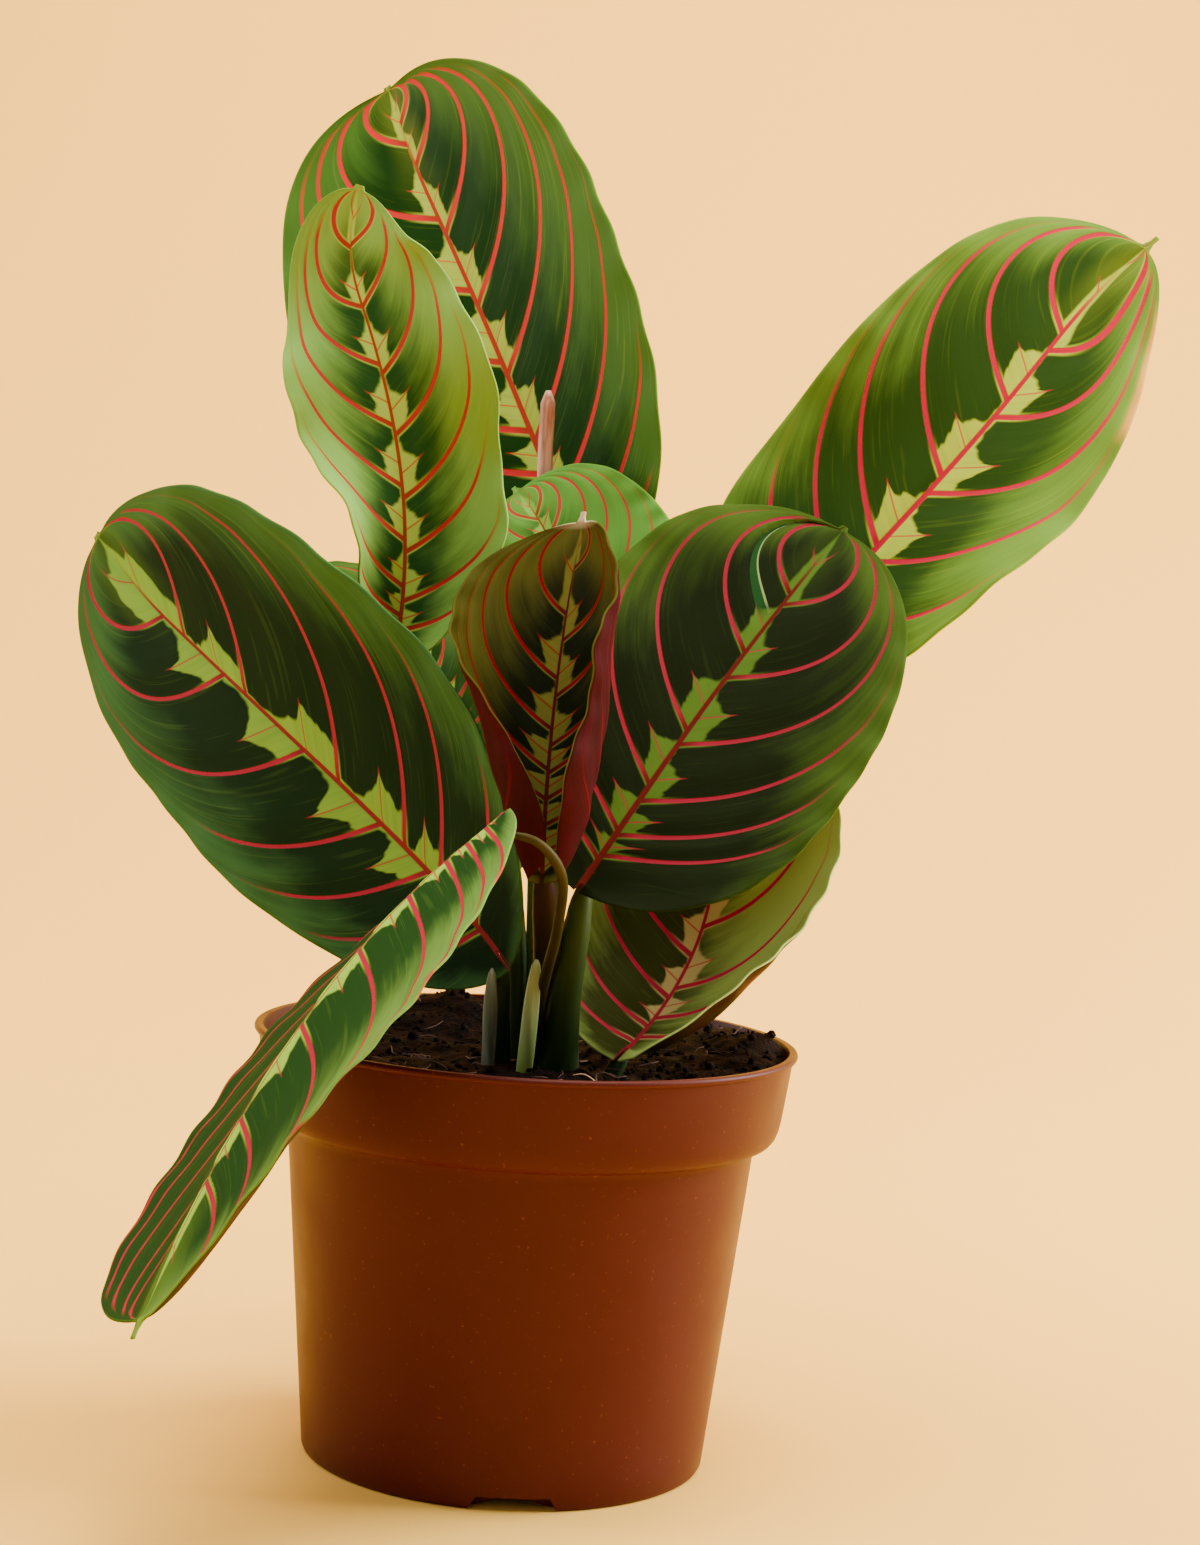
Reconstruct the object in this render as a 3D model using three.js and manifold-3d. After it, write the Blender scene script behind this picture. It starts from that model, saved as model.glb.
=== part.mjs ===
// A young prayer plant in its round nursery pot. Millimetres, +Z up, with the origin at the centre
// of the pot's foot. Each leaf blade is one thin curved solid, laid out from its own length, width,
// direction and curl; the stalks rise from one crown that stands in a plain hole in the soil.
import * as THREE from 'three';
import { mergeVertices } from 'three/addons/utils/BufferGeometryUtils.js';
import Module from 'manifold-3d';

const wasm = await Module();
wasm.setup();

// ---- Driving dimensions -------------------------------------------------------------------

const GAP = 0.3; // clearance between neighbouring pieces

const POT = {
  height: 93.5,
  rimRadius: 60, // outside of the rolled bead
  beadHeight: 1.5,
  collarTopRadius: 59.2,
  collarRadius: 56.6, // at the collar's lower edge
  collarDepth: 20.6,
  ledgeRadius: 51.7, // top of the tapered wall, under the collar
  baseRadius: 44.5,
  wall: 1.3,
  floor: 2, // thickness of the floor
  channelDepth: 3, // the ring under the floor, clear of the ground
  channelInner: 16,
  channelOuter: 40.5,
  segments: 48,
};

const DRAIN_HOLES = { count: 6, radius: 4, ring: 28 };
const FOOT_NOTCHES = { count: 3, width: 19, topWidth: 15.5, height: 3, depth: 9, firstAngle: -86 };

const SOIL = {
  top: 88,
  mound: { x: -18, y: 36, height: 7, spread: 20 }, // heaped at the back left
  roughness: 0.6,
  rings: 6,
};

const CROWN = { x: 2.6, y: -8.2, rx: 14.5, ry: 12.5, bottom: 62, top: 87.5 };

const BLADE = {
  thickness: 0.8,
  rows: 13,
  halfColumns: 4,
  blunt: 0.9, // shape of the outline: where its widest row lies,
  full: [2.3, 2.3], // how square its shoulders are towards the base and the tip,
  roundness: 0.5, // and how round its ends
  tipStart: 0.97, // the drip tip takes the rest of the length
  tipHalf: 1.3,
  endHalf: 0.8,
  lobe: 2, // how far the basal lobes reach back past the stalk
  rollRadius: 2, // the tightest roll of a margin
  hookStart: 0.7,
  waves: 3,
};

// Each leaf: base (where the stalk joins the blade), length and width, heading and rise of the
// midrib in degrees, how much it bends down and hooks at the tip, swings and sways sideways, and
// rolls and twists about itself. share is the right half's part of the width. Each half has a
// crease at the midrib and a curl, in degrees over the half's width, at the base and at the tip,
// and, where it differs from the common one, how square its shoulders are at both ends.
const LEAVES = {
  leaf_top_back: {
    base: [10, 50, 191.5], length: 159, width: 96, heading: 139, rise: 57, blunt: 0.95,
    bend: 7, hook: -8, swing: -12.5, sway: -2.5, roll: 76.5, twist: -8, share: 1.02,
    left: { crease: 9.5, curl: [23, 25], wave: -0.85, phase: 0, full: [2.3, 2.55] },
    right: { crease: 8, curl: [20, 24], wave: 0.45, phase: 0, full: [2.4, 2.45] },
  },
  leaf_top_left: {
    base: [-34.5, 10.5, 176], length: 109, width: 48.6, heading: 154.5, rise: 97, blunt: 0.95,
    bend: 49, hook: -57, swing: 1, sway: 13, roll: 40, twist: 31.5, share: 1.06,
    left: { crease: -4.5, curl: [83, -9], wave: -3.3, phase: -0.07, full: [2.15, 1.6] },
    right: { crease: 7, curl: [92, -3], wave: -3.6, phase: 0.1, full: [2.05, 1.8] },
  },
  leaf_right: {
    base: [47.4, 30, 173.2], length: 152, width: 70, heading: 23, rise: 50.5, blunt: 0.9,
    bend: 2.5, hook: 8, swing: -1.5, sway: -11, roll: -49, twist: -8, share: 0.9,
    left: { crease: 0.5, curl: [38, -12], wave: -1.1, phase: 0.21, full: [2.5, 2.9] },
    right: { crease: -2, curl: [37, -13], wave: 1.9, phase: 0.19, full: [2.3, 1.6] },
  },
  leaf_big_left: {
    base: [-7.5, -17.5, 113.5], length: 157, width: 82.5, heading: 146, rise: 40, blunt: 1.07, lobe: 5,
    bend: 18, hook: -18, swing: -4, sway: 7, roll: 97, twist: -5.5, share: 1.13,
    left: { crease: 0.5, curl: [18.5, 9.5], wave: 0.6, phase: 0, full: [2.65, 2.4] },
    right: { crease: 6.5, curl: [16, 12], wave: 0.45, phase: -0.2, full: [2.8, 1.6] },
  },
  leaf_centre_right: {
    base: [9.5, -22, 129.5], length: 116, width: 75, heading: 42, rise: 49, blunt: 0.95,
    bend: 7, hook: 2, swing: 6, sway: 2, roll: -47, twist: 13, share: 1.03,
    left: { crease: 3, curl: [22, 4.5], wave: 1.25, phase: -0.07, full: [2.3, 2.65] },
    right: { crease: 3.5, curl: [28, 4], wave: 0, phase: 0, full: [2.9, 1.95] },
  },
  leaf_cupped: {
    base: [1, -31, 132], length: 79, width: 61, heading: 97, rise: 78, halfColumns: 8, rows: 15,
    bend: 5, hook: -2, swing: -37, sway: 0, roll: 8, twist: 12, share: 1.02,
    left: { crease: -4, curl: [239, 23], wave: -1, phase: 0.18 },
    right: { crease: -8, curl: [182, 44], wave: -2, phase: 0.04 },
  },
  leaf_small_arched: {
    base: [15.4, 21.4, 171.6], length: 58, width: 48, heading: 138, rise: 56,
    bend: 10, hook: 14, swing: -6, sway: 0, roll: 56, twist: -3, share: 1.12,
    left: { crease: 8, curl: [25, 15], wave: 0, phase: 0 },
    right: { crease: 2, curl: [8, 4], wave: 0.7, phase: -0.1 },
  },
  leaf_drooping: {
    base: [-8, -50, 145.5], length: 131, width: 80, heading: 211, rise: -34, blunt: 1.18,
    bend: 26.5, hook: -6, swing: 35, sway: 3, roll: 1, twist: -20, share: 1.07,
    left: { crease: -8, curl: [6, 63], wave: -0.13, phase: -0.23, full: [1.5, 2] },
    right: { crease: -41, curl: [20, 45], wave: 0, phase: 0, full: [3.4, 3.7] },
  },
  leaf_lower_right: {
    base: [21.7, -17.1, 94.2], length: 96, width: 62, heading: 55.7, rise: 26.4, blunt: 0.83, halfColumns: 6,
    bend: -67, hook: -12, swing: 35, sway: -7, roll: -7.5, twist: 20.5, share: 1,
    left: { crease: -15.3, curl: [56.4, 13.2], wave: 1.2, phase: 0, full: [1.9, 2.4] },
    right: { crease: -17, curl: [106, 18.2], wave: -0.6, phase: 0.17, full: [2.75, 2.7] },
  },
  leaf_behind_left: {
    base: [-18, 23, 153], length: 72, width: 38, heading: 150, rise: 65,
    bend: 61, hook: 12, swing: -5, sway: 0, roll: 3, twist: 4, share: 1,
    left: { crease: 8, curl: [34, 21], wave: 0, phase: 0 },
    right: { crease: 8, curl: [34, 22], wave: -0.7, phase: -0.1 },
  },
  leaf_low_back: {
    base: [3, 24, 140], length: 100, width: 56, heading: 95, rise: 12,
    bend: 48, hook: 10, swing: 0, sway: 0, roll: 0, twist: 0, share: 1,
    left: { crease: 8, curl: [30, 20], wave: 1, phase: 0 },
    right: { crease: 8, curl: [30, 20], wave: 1, phase: 0.5 },
  },
};

// The stalks run from the crown to each blade through these points. Each stops a setback short of
// its blade's base, along the midrib, and may join it from under, which leaves a small gap.
const STALKS = {
  leaf_top_back: { radius: 1.7, setback: 4.2, route: [[2, -4, 80], [0, 6, 115], [-1, 24, 156], [2, 41, 177]] },
  leaf_top_left: { radius: 1.6, setback: 3.4, route: [[-2, -4, 80], [-4.5, -0.5, 115], [-16.5, 6, 148.5]] },
  leaf_right: { radius: 1.7, setback: 3.4, route: [[6, -4, 80], [3, 0.5, 119], [21.5, 27.5, 166]] },
  leaf_big_left: { radius: 1.9, setback: 0.6, under: 2.9, route: [[-5.3, -12.5, 80], [-6, -14.8, 98]] },
  leaf_centre_right: { radius: 2.4, setback: 3.6, route: [[7, -13, 80], [7, -19.5, 102], [8.5, -27, 122.5]] },
  leaf_cupped: { radius: 2.6, setback: 3.6, route: [[4, -13, 80], [4, -14, 104], [2.5, -25, 123]] },
  leaf_small_arched: { radius: 1.5, setback: 3.4, route: [[5, -2, 80], [4.5, 11, 120], [9.5, 15, 150]] },
  leaf_drooping: {
    radius: 1.9, setback: 4.3,
    route: [[2, -13, 80], [2, -21, 104], [3.5, -37.5, 123.5], [3, -48.5, 138]],
  },
  leaf_lower_right: { radius: 2.1, setback: 4.6, route: [[10.5, -12, 80], [12.8, -15, 91.4]] },
  leaf_behind_left: { radius: 1.4, setback: 2.6, route: [[-1, -3, 80], [-3, 5, 115], [-9, 16, 140]] },
  leaf_low_back: { radius: 1.6, setback: 2.8, route: [[4, -3, 80], [3, 7, 115], [3, 18, 134]] },
};
const STALK_SIDES = 8;
const STALK_STEP = 11; // length of one step of a stalk

const SPEAR = {
  radius: 2.0,
  route: [[5, -4, 80], [4, 12, 119.5], [7, 15, 143], [7, 32, 169], [-3.5, 49.5, 212], [-4.5, 50, 238.5]],
  start: 172, // height where the rolled blade takes over from its stalk
  tipCut: 5, // the rolled blade ends in a slant
};

const SHEATHS = {
  dry_sheath: { foot: [-9.8, -17.8, 80], top: [-11.4, -19.6, 111], width: 4.4, thickness: 0.9, turn: -44 },
  green_sheath: { foot: [-2.2, -22.8, 80], top: [-0.8, -24.6, 108], width: 5.4, thickness: 0.9, turn: -6 },
};

const COLOURS = {
  pot: '#a8481f',
  soil: '#2a1a12',
  darkLeaf: '#2c4a1c',
  lightLeaf: '#6f9a38',
  oliveLeaf: '#5a5a1e',
  stalks: '#4a5a24',
  spear: '#d8907a',
  drySheath: '#b8ae94',
  greenSheath: '#9ab060',
};

// ---- Solids from geometry -----------------------------------------------------------------

/** A closed solid of a geometry whose doubled vertices are merged and slivers dropped. */
function solidOf(geometry) {
  const bare = geometry.index ? geometry.toNonIndexed() : geometry.clone();
  bare.deleteAttribute('normal');
  bare.deleteAttribute('uv');
  const merged = mergeVertices(bare, 1e-3);
  const index = merged.index.array;
  const kept = [];
  for (let i = 0; i < index.length; i += 3) {
    const [a, b, c] = [index[i], index[i + 1], index[i + 2]];
    if (a !== b && b !== c && c !== a) kept.push(a, b, c);
  }
  return new wasm.Manifold(new wasm.Mesh({
    numProp: 3,
    vertProperties: new Float32Array(merged.attributes.position.array),
    triVerts: new Uint32Array(kept),
  }));
}

/** The geometry of a solid. */
function geometryOf(solid) {
  const { vertProperties, triVerts } = solid.getMesh();
  const geometry = new THREE.BufferGeometry();
  geometry.setAttribute('position', new THREE.BufferAttribute(new Float32Array(vertProperties), 3));
  geometry.setIndex(new THREE.BufferAttribute(new Uint32Array(triVerts), 1));
  geometry.computeVertexNormals();
  return geometry;
}

/** A solid turned about +Z from an outline of [radius, height] points. */
function turned(outline, segments) {
  const points = outline.map(([radius, height]) => new THREE.Vector2(radius, height));
  const geometry = new THREE.LatheGeometry(points, segments);
  geometry.rotateX(Math.PI / 2);
  return solidOf(geometry);
}

/** A round tube along a smooth curve through the points. */
function tube(points, radius) {
  const curve = new THREE.CatmullRomCurve3(points.map((point) => new THREE.Vector3(...point)));
  const section = new THREE.Shape();
  for (let i = 0; i < STALK_SIDES; i += 1) {
    const angle = (2 * Math.PI * i) / STALK_SIDES;
    const corner = [radius * Math.cos(angle), radius * Math.sin(angle)];
    if (i === 0) section.moveTo(...corner);
    else section.lineTo(...corner);
  }
  section.closePath();
  const steps = Math.max(2, Math.round(curve.getLength() / STALK_STEP));
  return solidOf(new THREE.ExtrudeGeometry(section, { steps, extrudePath: curve, bevelEnabled: false }));
}

// ---- Pot and soil -------------------------------------------------------------------------

const POT_LEDGE = POT.height - POT.collarDepth; // height of the collar's lower edge
const POT_FLOOR = POT.channelDepth + POT.floor; // top of the floor, inside

/** Outer radius of the tapered wall at a height under the collar. */
function wallRadius(height) {
  return POT.baseRadius + ((POT.ledgeRadius - POT.baseRadius) * height) / POT_LEDGE;
}

/** Outer radius of the collar at a height. */
function collarRadius(height) {
  const share = (height - POT_LEDGE) / POT.collarDepth;
  return POT.collarRadius + (POT.collarTopRadius - POT.collarRadius) * share;
}

/** The pot: foot ring, tapered wall, collar with a round lower edge, and rolled rim bead. */
function potSolid() {
  const { wall, height, rimRadius, beadHeight } = POT;
  const outline = [
    [0, 0],
    [POT.channelInner, 0],
    [POT.channelInner + 1, POT.channelDepth],
    [POT.channelOuter - 1, POT.channelDepth],
    [POT.channelOuter, 0],
    [POT.baseRadius - 0.8, 0],
    [POT.baseRadius + 0.1, 1],
    [wallRadius(POT_LEDGE), POT_LEDGE],
    [POT.collarRadius - 2.4, POT_LEDGE + 0.3],
    [POT.collarRadius - 0.6, POT_LEDGE + 1.4],
    [POT.collarRadius + 0.4, POT_LEDGE + 3.8],
    [collarRadius(height - beadHeight), height - beadHeight],
    [rimRadius, height - beadHeight + 0.3],
    [rimRadius, height - 0.3],
    [rimRadius - 0.4, height],
    [collarRadius(height) - wall, height],
    [collarRadius(POT_LEDGE + 3.8) - wall, POT_LEDGE + 3],
    [wallRadius(POT_LEDGE) - wall, POT_LEDGE + 1.2],
    [wallRadius(POT_FLOOR) - wall, POT_FLOOR + 1],
    [wallRadius(POT_FLOOR) - wall - 1, POT_FLOOR],
    [0, POT_FLOOR],
  ];
  let pot = turned(outline, POT.segments);

  for (let i = 0; i < DRAIN_HOLES.count; i += 1) {
    const angle = (2 * Math.PI * (i + 0.5)) / DRAIN_HOLES.count;
    const hole = new THREE.CylinderGeometry(DRAIN_HOLES.radius, DRAIN_HOLES.radius, 4 * POT.floor, 16);
    hole.rotateX(Math.PI / 2);
    hole.translate(DRAIN_HOLES.ring * Math.cos(angle), DRAIN_HOLES.ring * Math.sin(angle), POT_FLOOR);
    pot = pot.subtract(solidOf(hole));
  }

  const { width, topWidth, height: notchHeight, depth } = FOOT_NOTCHES;
  const notchShape = new THREE.Shape([
    new THREE.Vector2(-width / 2, -1),
    new THREE.Vector2(width / 2, -1),
    new THREE.Vector2(width / 2, 0),
    new THREE.Vector2(topWidth / 2, notchHeight),
    new THREE.Vector2(-topWidth / 2, notchHeight),
    new THREE.Vector2(-width / 2, 0),
  ]);
  for (let i = 0; i < FOOT_NOTCHES.count; i += 1) {
    const angle = THREE.MathUtils.degToRad(FOOT_NOTCHES.firstAngle + (360 * i) / FOOT_NOTCHES.count);
    const notch = new THREE.ExtrudeGeometry(notchShape, { depth, bevelEnabled: false });
    notch.rotateX(Math.PI / 2);
    notch.translate(0, POT.baseRadius + depth / 2, 0);
    notch.rotateZ(angle - Math.PI / 2);
    pot = pot.subtract(solidOf(notch));
  }
  return pot;
}

/** Height of the soil's surface. */
function soilHeight(x, y) {
  const { mound, roughness } = SOIL;
  const away = ((x - mound.x) ** 2 + (y - mound.y) ** 2) / mound.spread ** 2;
  const lumps = Math.sin(0.31 * x + 1.3) * Math.cos(0.27 * y) + 0.6 * Math.sin(0.17 * x * 0.9 - 0.41 * y);
  return SOIL.top + mound.height * Math.exp(-away) + roughness * lumps;
}

/** The soil: it fills the pot to its floor, and its surface is heaped at the back left. */
function soilSolid() {
  const inset = POT.wall + GAP;
  const edge = collarRadius(SOIL.top) - inset;
  const outline = [
    [0, POT_FLOOR + GAP],
    [wallRadius(POT_FLOOR) - inset - 1.3, POT_FLOOR + GAP],
    [wallRadius(POT_FLOOR) - inset - 0.2, POT_FLOOR + GAP + 1.2],
    [wallRadius(POT_LEDGE) - inset, POT_LEDGE + 1.7],
    [collarRadius(POT_LEDGE + 3.8) - inset, POT_LEDGE + 3.5],
  ];
  for (let ring = SOIL.rings; ring >= 0; ring -= 1) {
    outline.push([(edge * ring) / SOIL.rings, SOIL.top]);
  }
  const points = outline.map(([radius, height]) => new THREE.Vector2(radius, height));
  const geometry = new THREE.LatheGeometry(points, POT.segments);
  geometry.rotateX(Math.PI / 2);
  const { position } = geometry.attributes;
  for (let i = 0; i < position.count; i += 1) {
    const [x, y, z] = [position.getX(i), position.getY(i), position.getZ(i)];
    if (z > SOIL.top - 0.01) position.setZ(i, soilHeight(x, y));
  }
  return solidOf(geometry);
}

/** An upright oval cylinder round the crown, larger than it by a margin all round. */
function crownCylinder(bottom, top, margin) {
  const geometry = new THREE.CylinderGeometry(1, 1, top - bottom, 24);
  geometry.rotateX(Math.PI / 2);
  geometry.scale(CROWN.rx + margin, CROWN.ry + margin, 1);
  geometry.translate(CROWN.x, CROWN.y, (bottom + top) / 2);
  return solidOf(geometry);
}

// ---- Leaf blades --------------------------------------------------------------------------

const radians = THREE.MathUtils.degToRad;

/** Half of the width of a half's outline of half-width 1, at a share u of the length. */
function outlineAt(leaf, side, u) {
  const along = Math.min(u / BLADE.tipStart, 1) ** (leaf.blunt ?? BLADE.blunt);
  const [towardsBase, towardsTip] = side.full ?? BLADE.full;
  const shoulder = along < 0.5 ? towardsBase : towardsTip;
  const width = (1 - Math.abs(2 * along - 1) ** shoulder) ** BLADE.roundness;
  return Number.isFinite(width) ? width : 0;
}

/** Direction of the midrib, and the blade's right side and upper face, at u. */
function frameAt(leaf, u) {
  const pastHook = THREE.MathUtils.smoothstep(u, BLADE.hookStart, 1);
  const rise = radians(leaf.rise - leaf.bend * u - leaf.hook * pastHook);
  const heading = radians(leaf.heading + leaf.swing * u + leaf.sway * Math.sin(2 * Math.PI * u));
  const roll = radians(leaf.roll + leaf.twist * u);
  const along = new THREE.Vector3(
    Math.cos(rise) * Math.cos(heading), Math.cos(rise) * Math.sin(heading), Math.sin(rise),
  );
  const level = new THREE.Vector3(Math.sin(heading), -Math.cos(heading), 0);
  const right = level.applyAxisAngle(along, -roll);
  const up = new THREE.Vector3().crossVectors(right, along);
  return { along, right, up };
}

/** Point of the midrib at u, by steps of equal length along its direction. */
function midribAt(leaf, u) {
  const steps = 48;
  const point = new THREE.Vector3(...leaf.base);
  for (let i = 0; i < steps; i += 1) {
    const middle = (u * (i + 0.5)) / steps;
    point.addScaledVector(frameAt(leaf, middle).along, (leaf.length * u) / steps);
  }
  return point;
}

/** Point of the blade's middle surface and its normal: v runs from -1, the left margin, to 1. */
function bladeAt(leaf, u, v, frame, midrib) {
  const side = v < 0 ? leaf.left : leaf.right;
  const share = v < 0 ? 2 - leaf.share : leaf.share;
  const sign = Math.sign(v);
  const reach = Math.abs(v);
  const form = outlineAt(leaf, side, u);
  const drip = u > BLADE.tipStart - 0.03 ? BLADE.tipHalf * Math.min(1, (1 - u) / (1 - BLADE.tipStart)) : 0;
  const half = Math.max((form * leaf.width * share) / 2, drip, BLADE.endHalf);

  const curl = radians(THREE.MathUtils.lerp(side.curl[0], side.curl[1], u));
  const room = half / (BLADE.rollRadius * Math.max(Math.abs(curl), 0.01));
  const turn = curl * (1 - Math.exp(-room)) || 1e-4;
  const crease = radians(side.crease);
  const angle = crease + turn * reach;
  const out = (half * (Math.sin(angle) - Math.sin(crease))) / turn;
  const wave = side.wave * form * reach ** 2 * Math.sin(2 * Math.PI * (BLADE.waves * u + side.phase));
  const lift = (half * (Math.cos(crease) - Math.cos(angle))) / turn + wave;
  const back = (leaf.lobe ?? BLADE.lobe) * (1 - u) ** 6 * reach ** 2;

  const point = midrib.clone()
    .addScaledVector(frame.right, sign * out)
    .addScaledVector(frame.up, lift)
    .addScaledVector(frame.along, -back);
  const normal = frame.up.clone();
  if (reach > 0) {
    normal.multiplyScalar(Math.cos(angle)).addScaledVector(frame.right, -sign * Math.sin(angle));
  }
  return { point, normal };
}

/** A leaf blade as one closed shell, with both faces split into triangles alike. */
function bladeSolid(leaf) {
  const rows = leaf.rows ?? BLADE.rows;
  const half = leaf.halfColumns ?? BLADE.halfColumns;
  const columns = 2 * half;
  const shares = [];
  for (let i = 0; i < rows; i += 1) {
    const even = i / (rows - 1);
    shares.push(BLADE.tipStart * (0.35 * even + (0.65 * (1 - Math.cos(Math.PI * even))) / 2));
  }
  shares.push(1);

  const positions = [];
  for (const face of [1, -1]) {
    for (const u of shares) {
      const frame = frameAt(leaf, u);
      const midrib = midribAt(leaf, u);
      for (let j = 0; j <= columns; j += 1) {
        const { point, normal } = bladeAt(leaf, u, (j - half) / half, frame, midrib);
        point.addScaledVector(normal, (face * BLADE.thickness) / 2);
        positions.push(...point.toArray());
      }
    }
  }

  const width = columns + 1;
  const under = shares.length * width;
  const index = [];
  const quad = (a, b, c, d) => index.push(a, b, c, a, c, d);
  for (let i = 0; i < shares.length - 1; i += 1) {
    for (let j = 0; j < columns; j += 1) {
      const corner = i * width + j;
      index.push(corner, corner + 1, corner + width + 1, corner, corner + width + 1, corner + width);
      index.push(
        under + corner, under + corner + width + 1, under + corner + 1,
        under + corner, under + corner + width, under + corner + width + 1,
      );
    }
    const left = i * width;
    const right = left + columns;
    quad(left, left + width, under + left + width, under + left);
    quad(right, under + right, under + right + width, right + width);
  }
  const last = (shares.length - 1) * width;
  for (let j = 0; j < columns; j += 1) {
    quad(j, under + j, under + j + 1, j + 1);
    quad(last + j, last + j + 1, under + last + j + 1, under + last + j);
  }
  const geometry = new THREE.BufferGeometry();
  geometry.setAttribute('position', new THREE.BufferAttribute(new Float32Array(positions), 3));
  geometry.setIndex(index);
  return solidOf(geometry);
}

// ---- Stalks, new leaf and sheaths ---------------------------------------------------------

/** A wide flat block between two heights, for cutting pieces off level. */
function slab(bottom, top) {
  const block = new THREE.BoxGeometry(4 * POT.rimRadius, 4 * POT.rimRadius, top - bottom);
  block.translate(0, 0, (bottom + top) / 2);
  return solidOf(block);
}

/** All leaf stalks with the crown that they grow from, ending a gap short of their blades. */
function stalksSolid() {
  let solid = crownCylinder(CROWN.bottom, CROWN.top, 0);
  for (const [name, { radius, setback, under = 0, route }] of Object.entries(STALKS)) {
    const leaf = LEAVES[name];
    const { along, up } = frameAt(leaf, 0);
    const stop = new THREE.Vector3(...leaf.base).addScaledVector(along, -setback).addScaledVector(up, -under);
    solid = solid.add(tube([...route, stop.toArray()], radius));
  }
  const spearStalk = tube(SPEAR.route, SPEAR.radius).subtract(slab(SPEAR.start - GAP / 2, 2 * SPEAR.start));
  return solid.add(spearStalk);
}

/** The rolled new leaf: a slim tube that ends in a slant and stands on its stalk. */
function spearSolid() {
  const { route, radius, tipCut, start } = SPEAR;
  const top = route.at(-1);
  const cutter = new THREE.BoxGeometry(6 * radius, 6 * radius, 4 * tipCut);
  cutter.rotateY(Math.PI / 4);
  cutter.translate(top[0] + 2 * tipCut, top[1], top[2] + tipCut);
  const whole = tube(route, radius).subtract(solidOf(cutter));
  return whole.subtract(slab(0, start + GAP / 2));
}

/** A sheath: a slim pointed blade that stands in the soil beside the stalks. */
function sheathSolid({ foot, top, width, thickness, turn }) {
  const start = new THREE.Vector3(...foot);
  const end = new THREE.Vector3(...top);
  const height = start.distanceTo(end);
  const outline = new THREE.Shape();
  outline.moveTo(-width / 2, 0);
  outline.lineTo(width / 2, 0);
  outline.lineTo(width * 0.45, height * 0.55);
  outline.lineTo(width * 0.14, height);
  outline.lineTo(-width * 0.14, height);
  outline.lineTo(-width * 0.45, height * 0.55);
  outline.closePath();
  const geometry = new THREE.ExtrudeGeometry(outline, { depth: thickness, bevelEnabled: false });
  geometry.translate(0, 0, -thickness / 2);
  geometry.rotateX(Math.PI / 2);
  geometry.rotateZ(radians(turn));
  const lean = new THREE.Quaternion().setFromUnitVectors(
    new THREE.Vector3(0, 0, 1), end.clone().sub(start).normalize(),
  );
  geometry.applyQuaternion(lean);
  geometry.translate(...foot);
  return solidOf(geometry);
}

/** A plain upright hole for a sheath's foot. */
function sheathHole({ foot, width }) {
  const hole = new THREE.CylinderGeometry(width / 2 + 1, width / 2 + 1, 60, 12);
  hole.rotateX(Math.PI / 2);
  hole.translate(foot[0], foot[1], foot[2] + 28);
  return solidOf(hole);
}

// ---- Assembly -----------------------------------------------------------------------------

const plant = new THREE.Group();
plant.name = 'potted_prayer_plant';

/** Adds one named piece to the plant. */
function addPiece(name, solid, color, roughness) {
  const material = new THREE.MeshStandardMaterial({ color, roughness, metalness: 0 });
  const mesh = new THREE.Mesh(geometryOf(solid), material);
  mesh.name = name;
  plant.add(mesh);
}

addPiece('pot', potSolid(), COLOURS.pot, 0.42);

let soil = soilSolid().subtract(crownCylinder(CROWN.bottom - GAP, POT.height + 20, GAP));
for (const sheath of Object.values(SHEATHS)) soil = soil.subtract(sheathHole(sheath));
addPiece('soil', soil, COLOURS.soil, 0.95);

const LIGHT_LEAVES = ['leaf_top_left', 'leaf_small_arched', 'leaf_drooping', 'leaf_low_back'];
const OLIVE_LEAVES = ['leaf_cupped', 'leaf_lower_right'];
for (const [name, leaf] of Object.entries(LEAVES)) {
  let colour = COLOURS.darkLeaf;
  if (LIGHT_LEAVES.includes(name)) colour = COLOURS.lightLeaf;
  if (OLIVE_LEAVES.includes(name)) colour = COLOURS.oliveLeaf;
  addPiece(name, bladeSolid(leaf), colour, 0.5);
}

addPiece('stalks', stalksSolid(), COLOURS.stalks, 0.55);
addPiece('new_leaf', spearSolid(), COLOURS.spear, 0.5);
addPiece('dry_sheath', sheathSolid(SHEATHS.dry_sheath), COLOURS.drySheath, 0.8);
addPiece('green_sheath', sheathSolid(SHEATHS.green_sheath), COLOURS.greenSheath, 0.6);

export default plant;
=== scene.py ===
"""Dressed model of a young prayer plant in its round nursery pot.

Every leaf blade is a grid that is bent, curled and quilted along its own veins, and its pattern is
drawn from the same vein lines. Lengths of the plant are given in millimetres and built in metres.
"""

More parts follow.
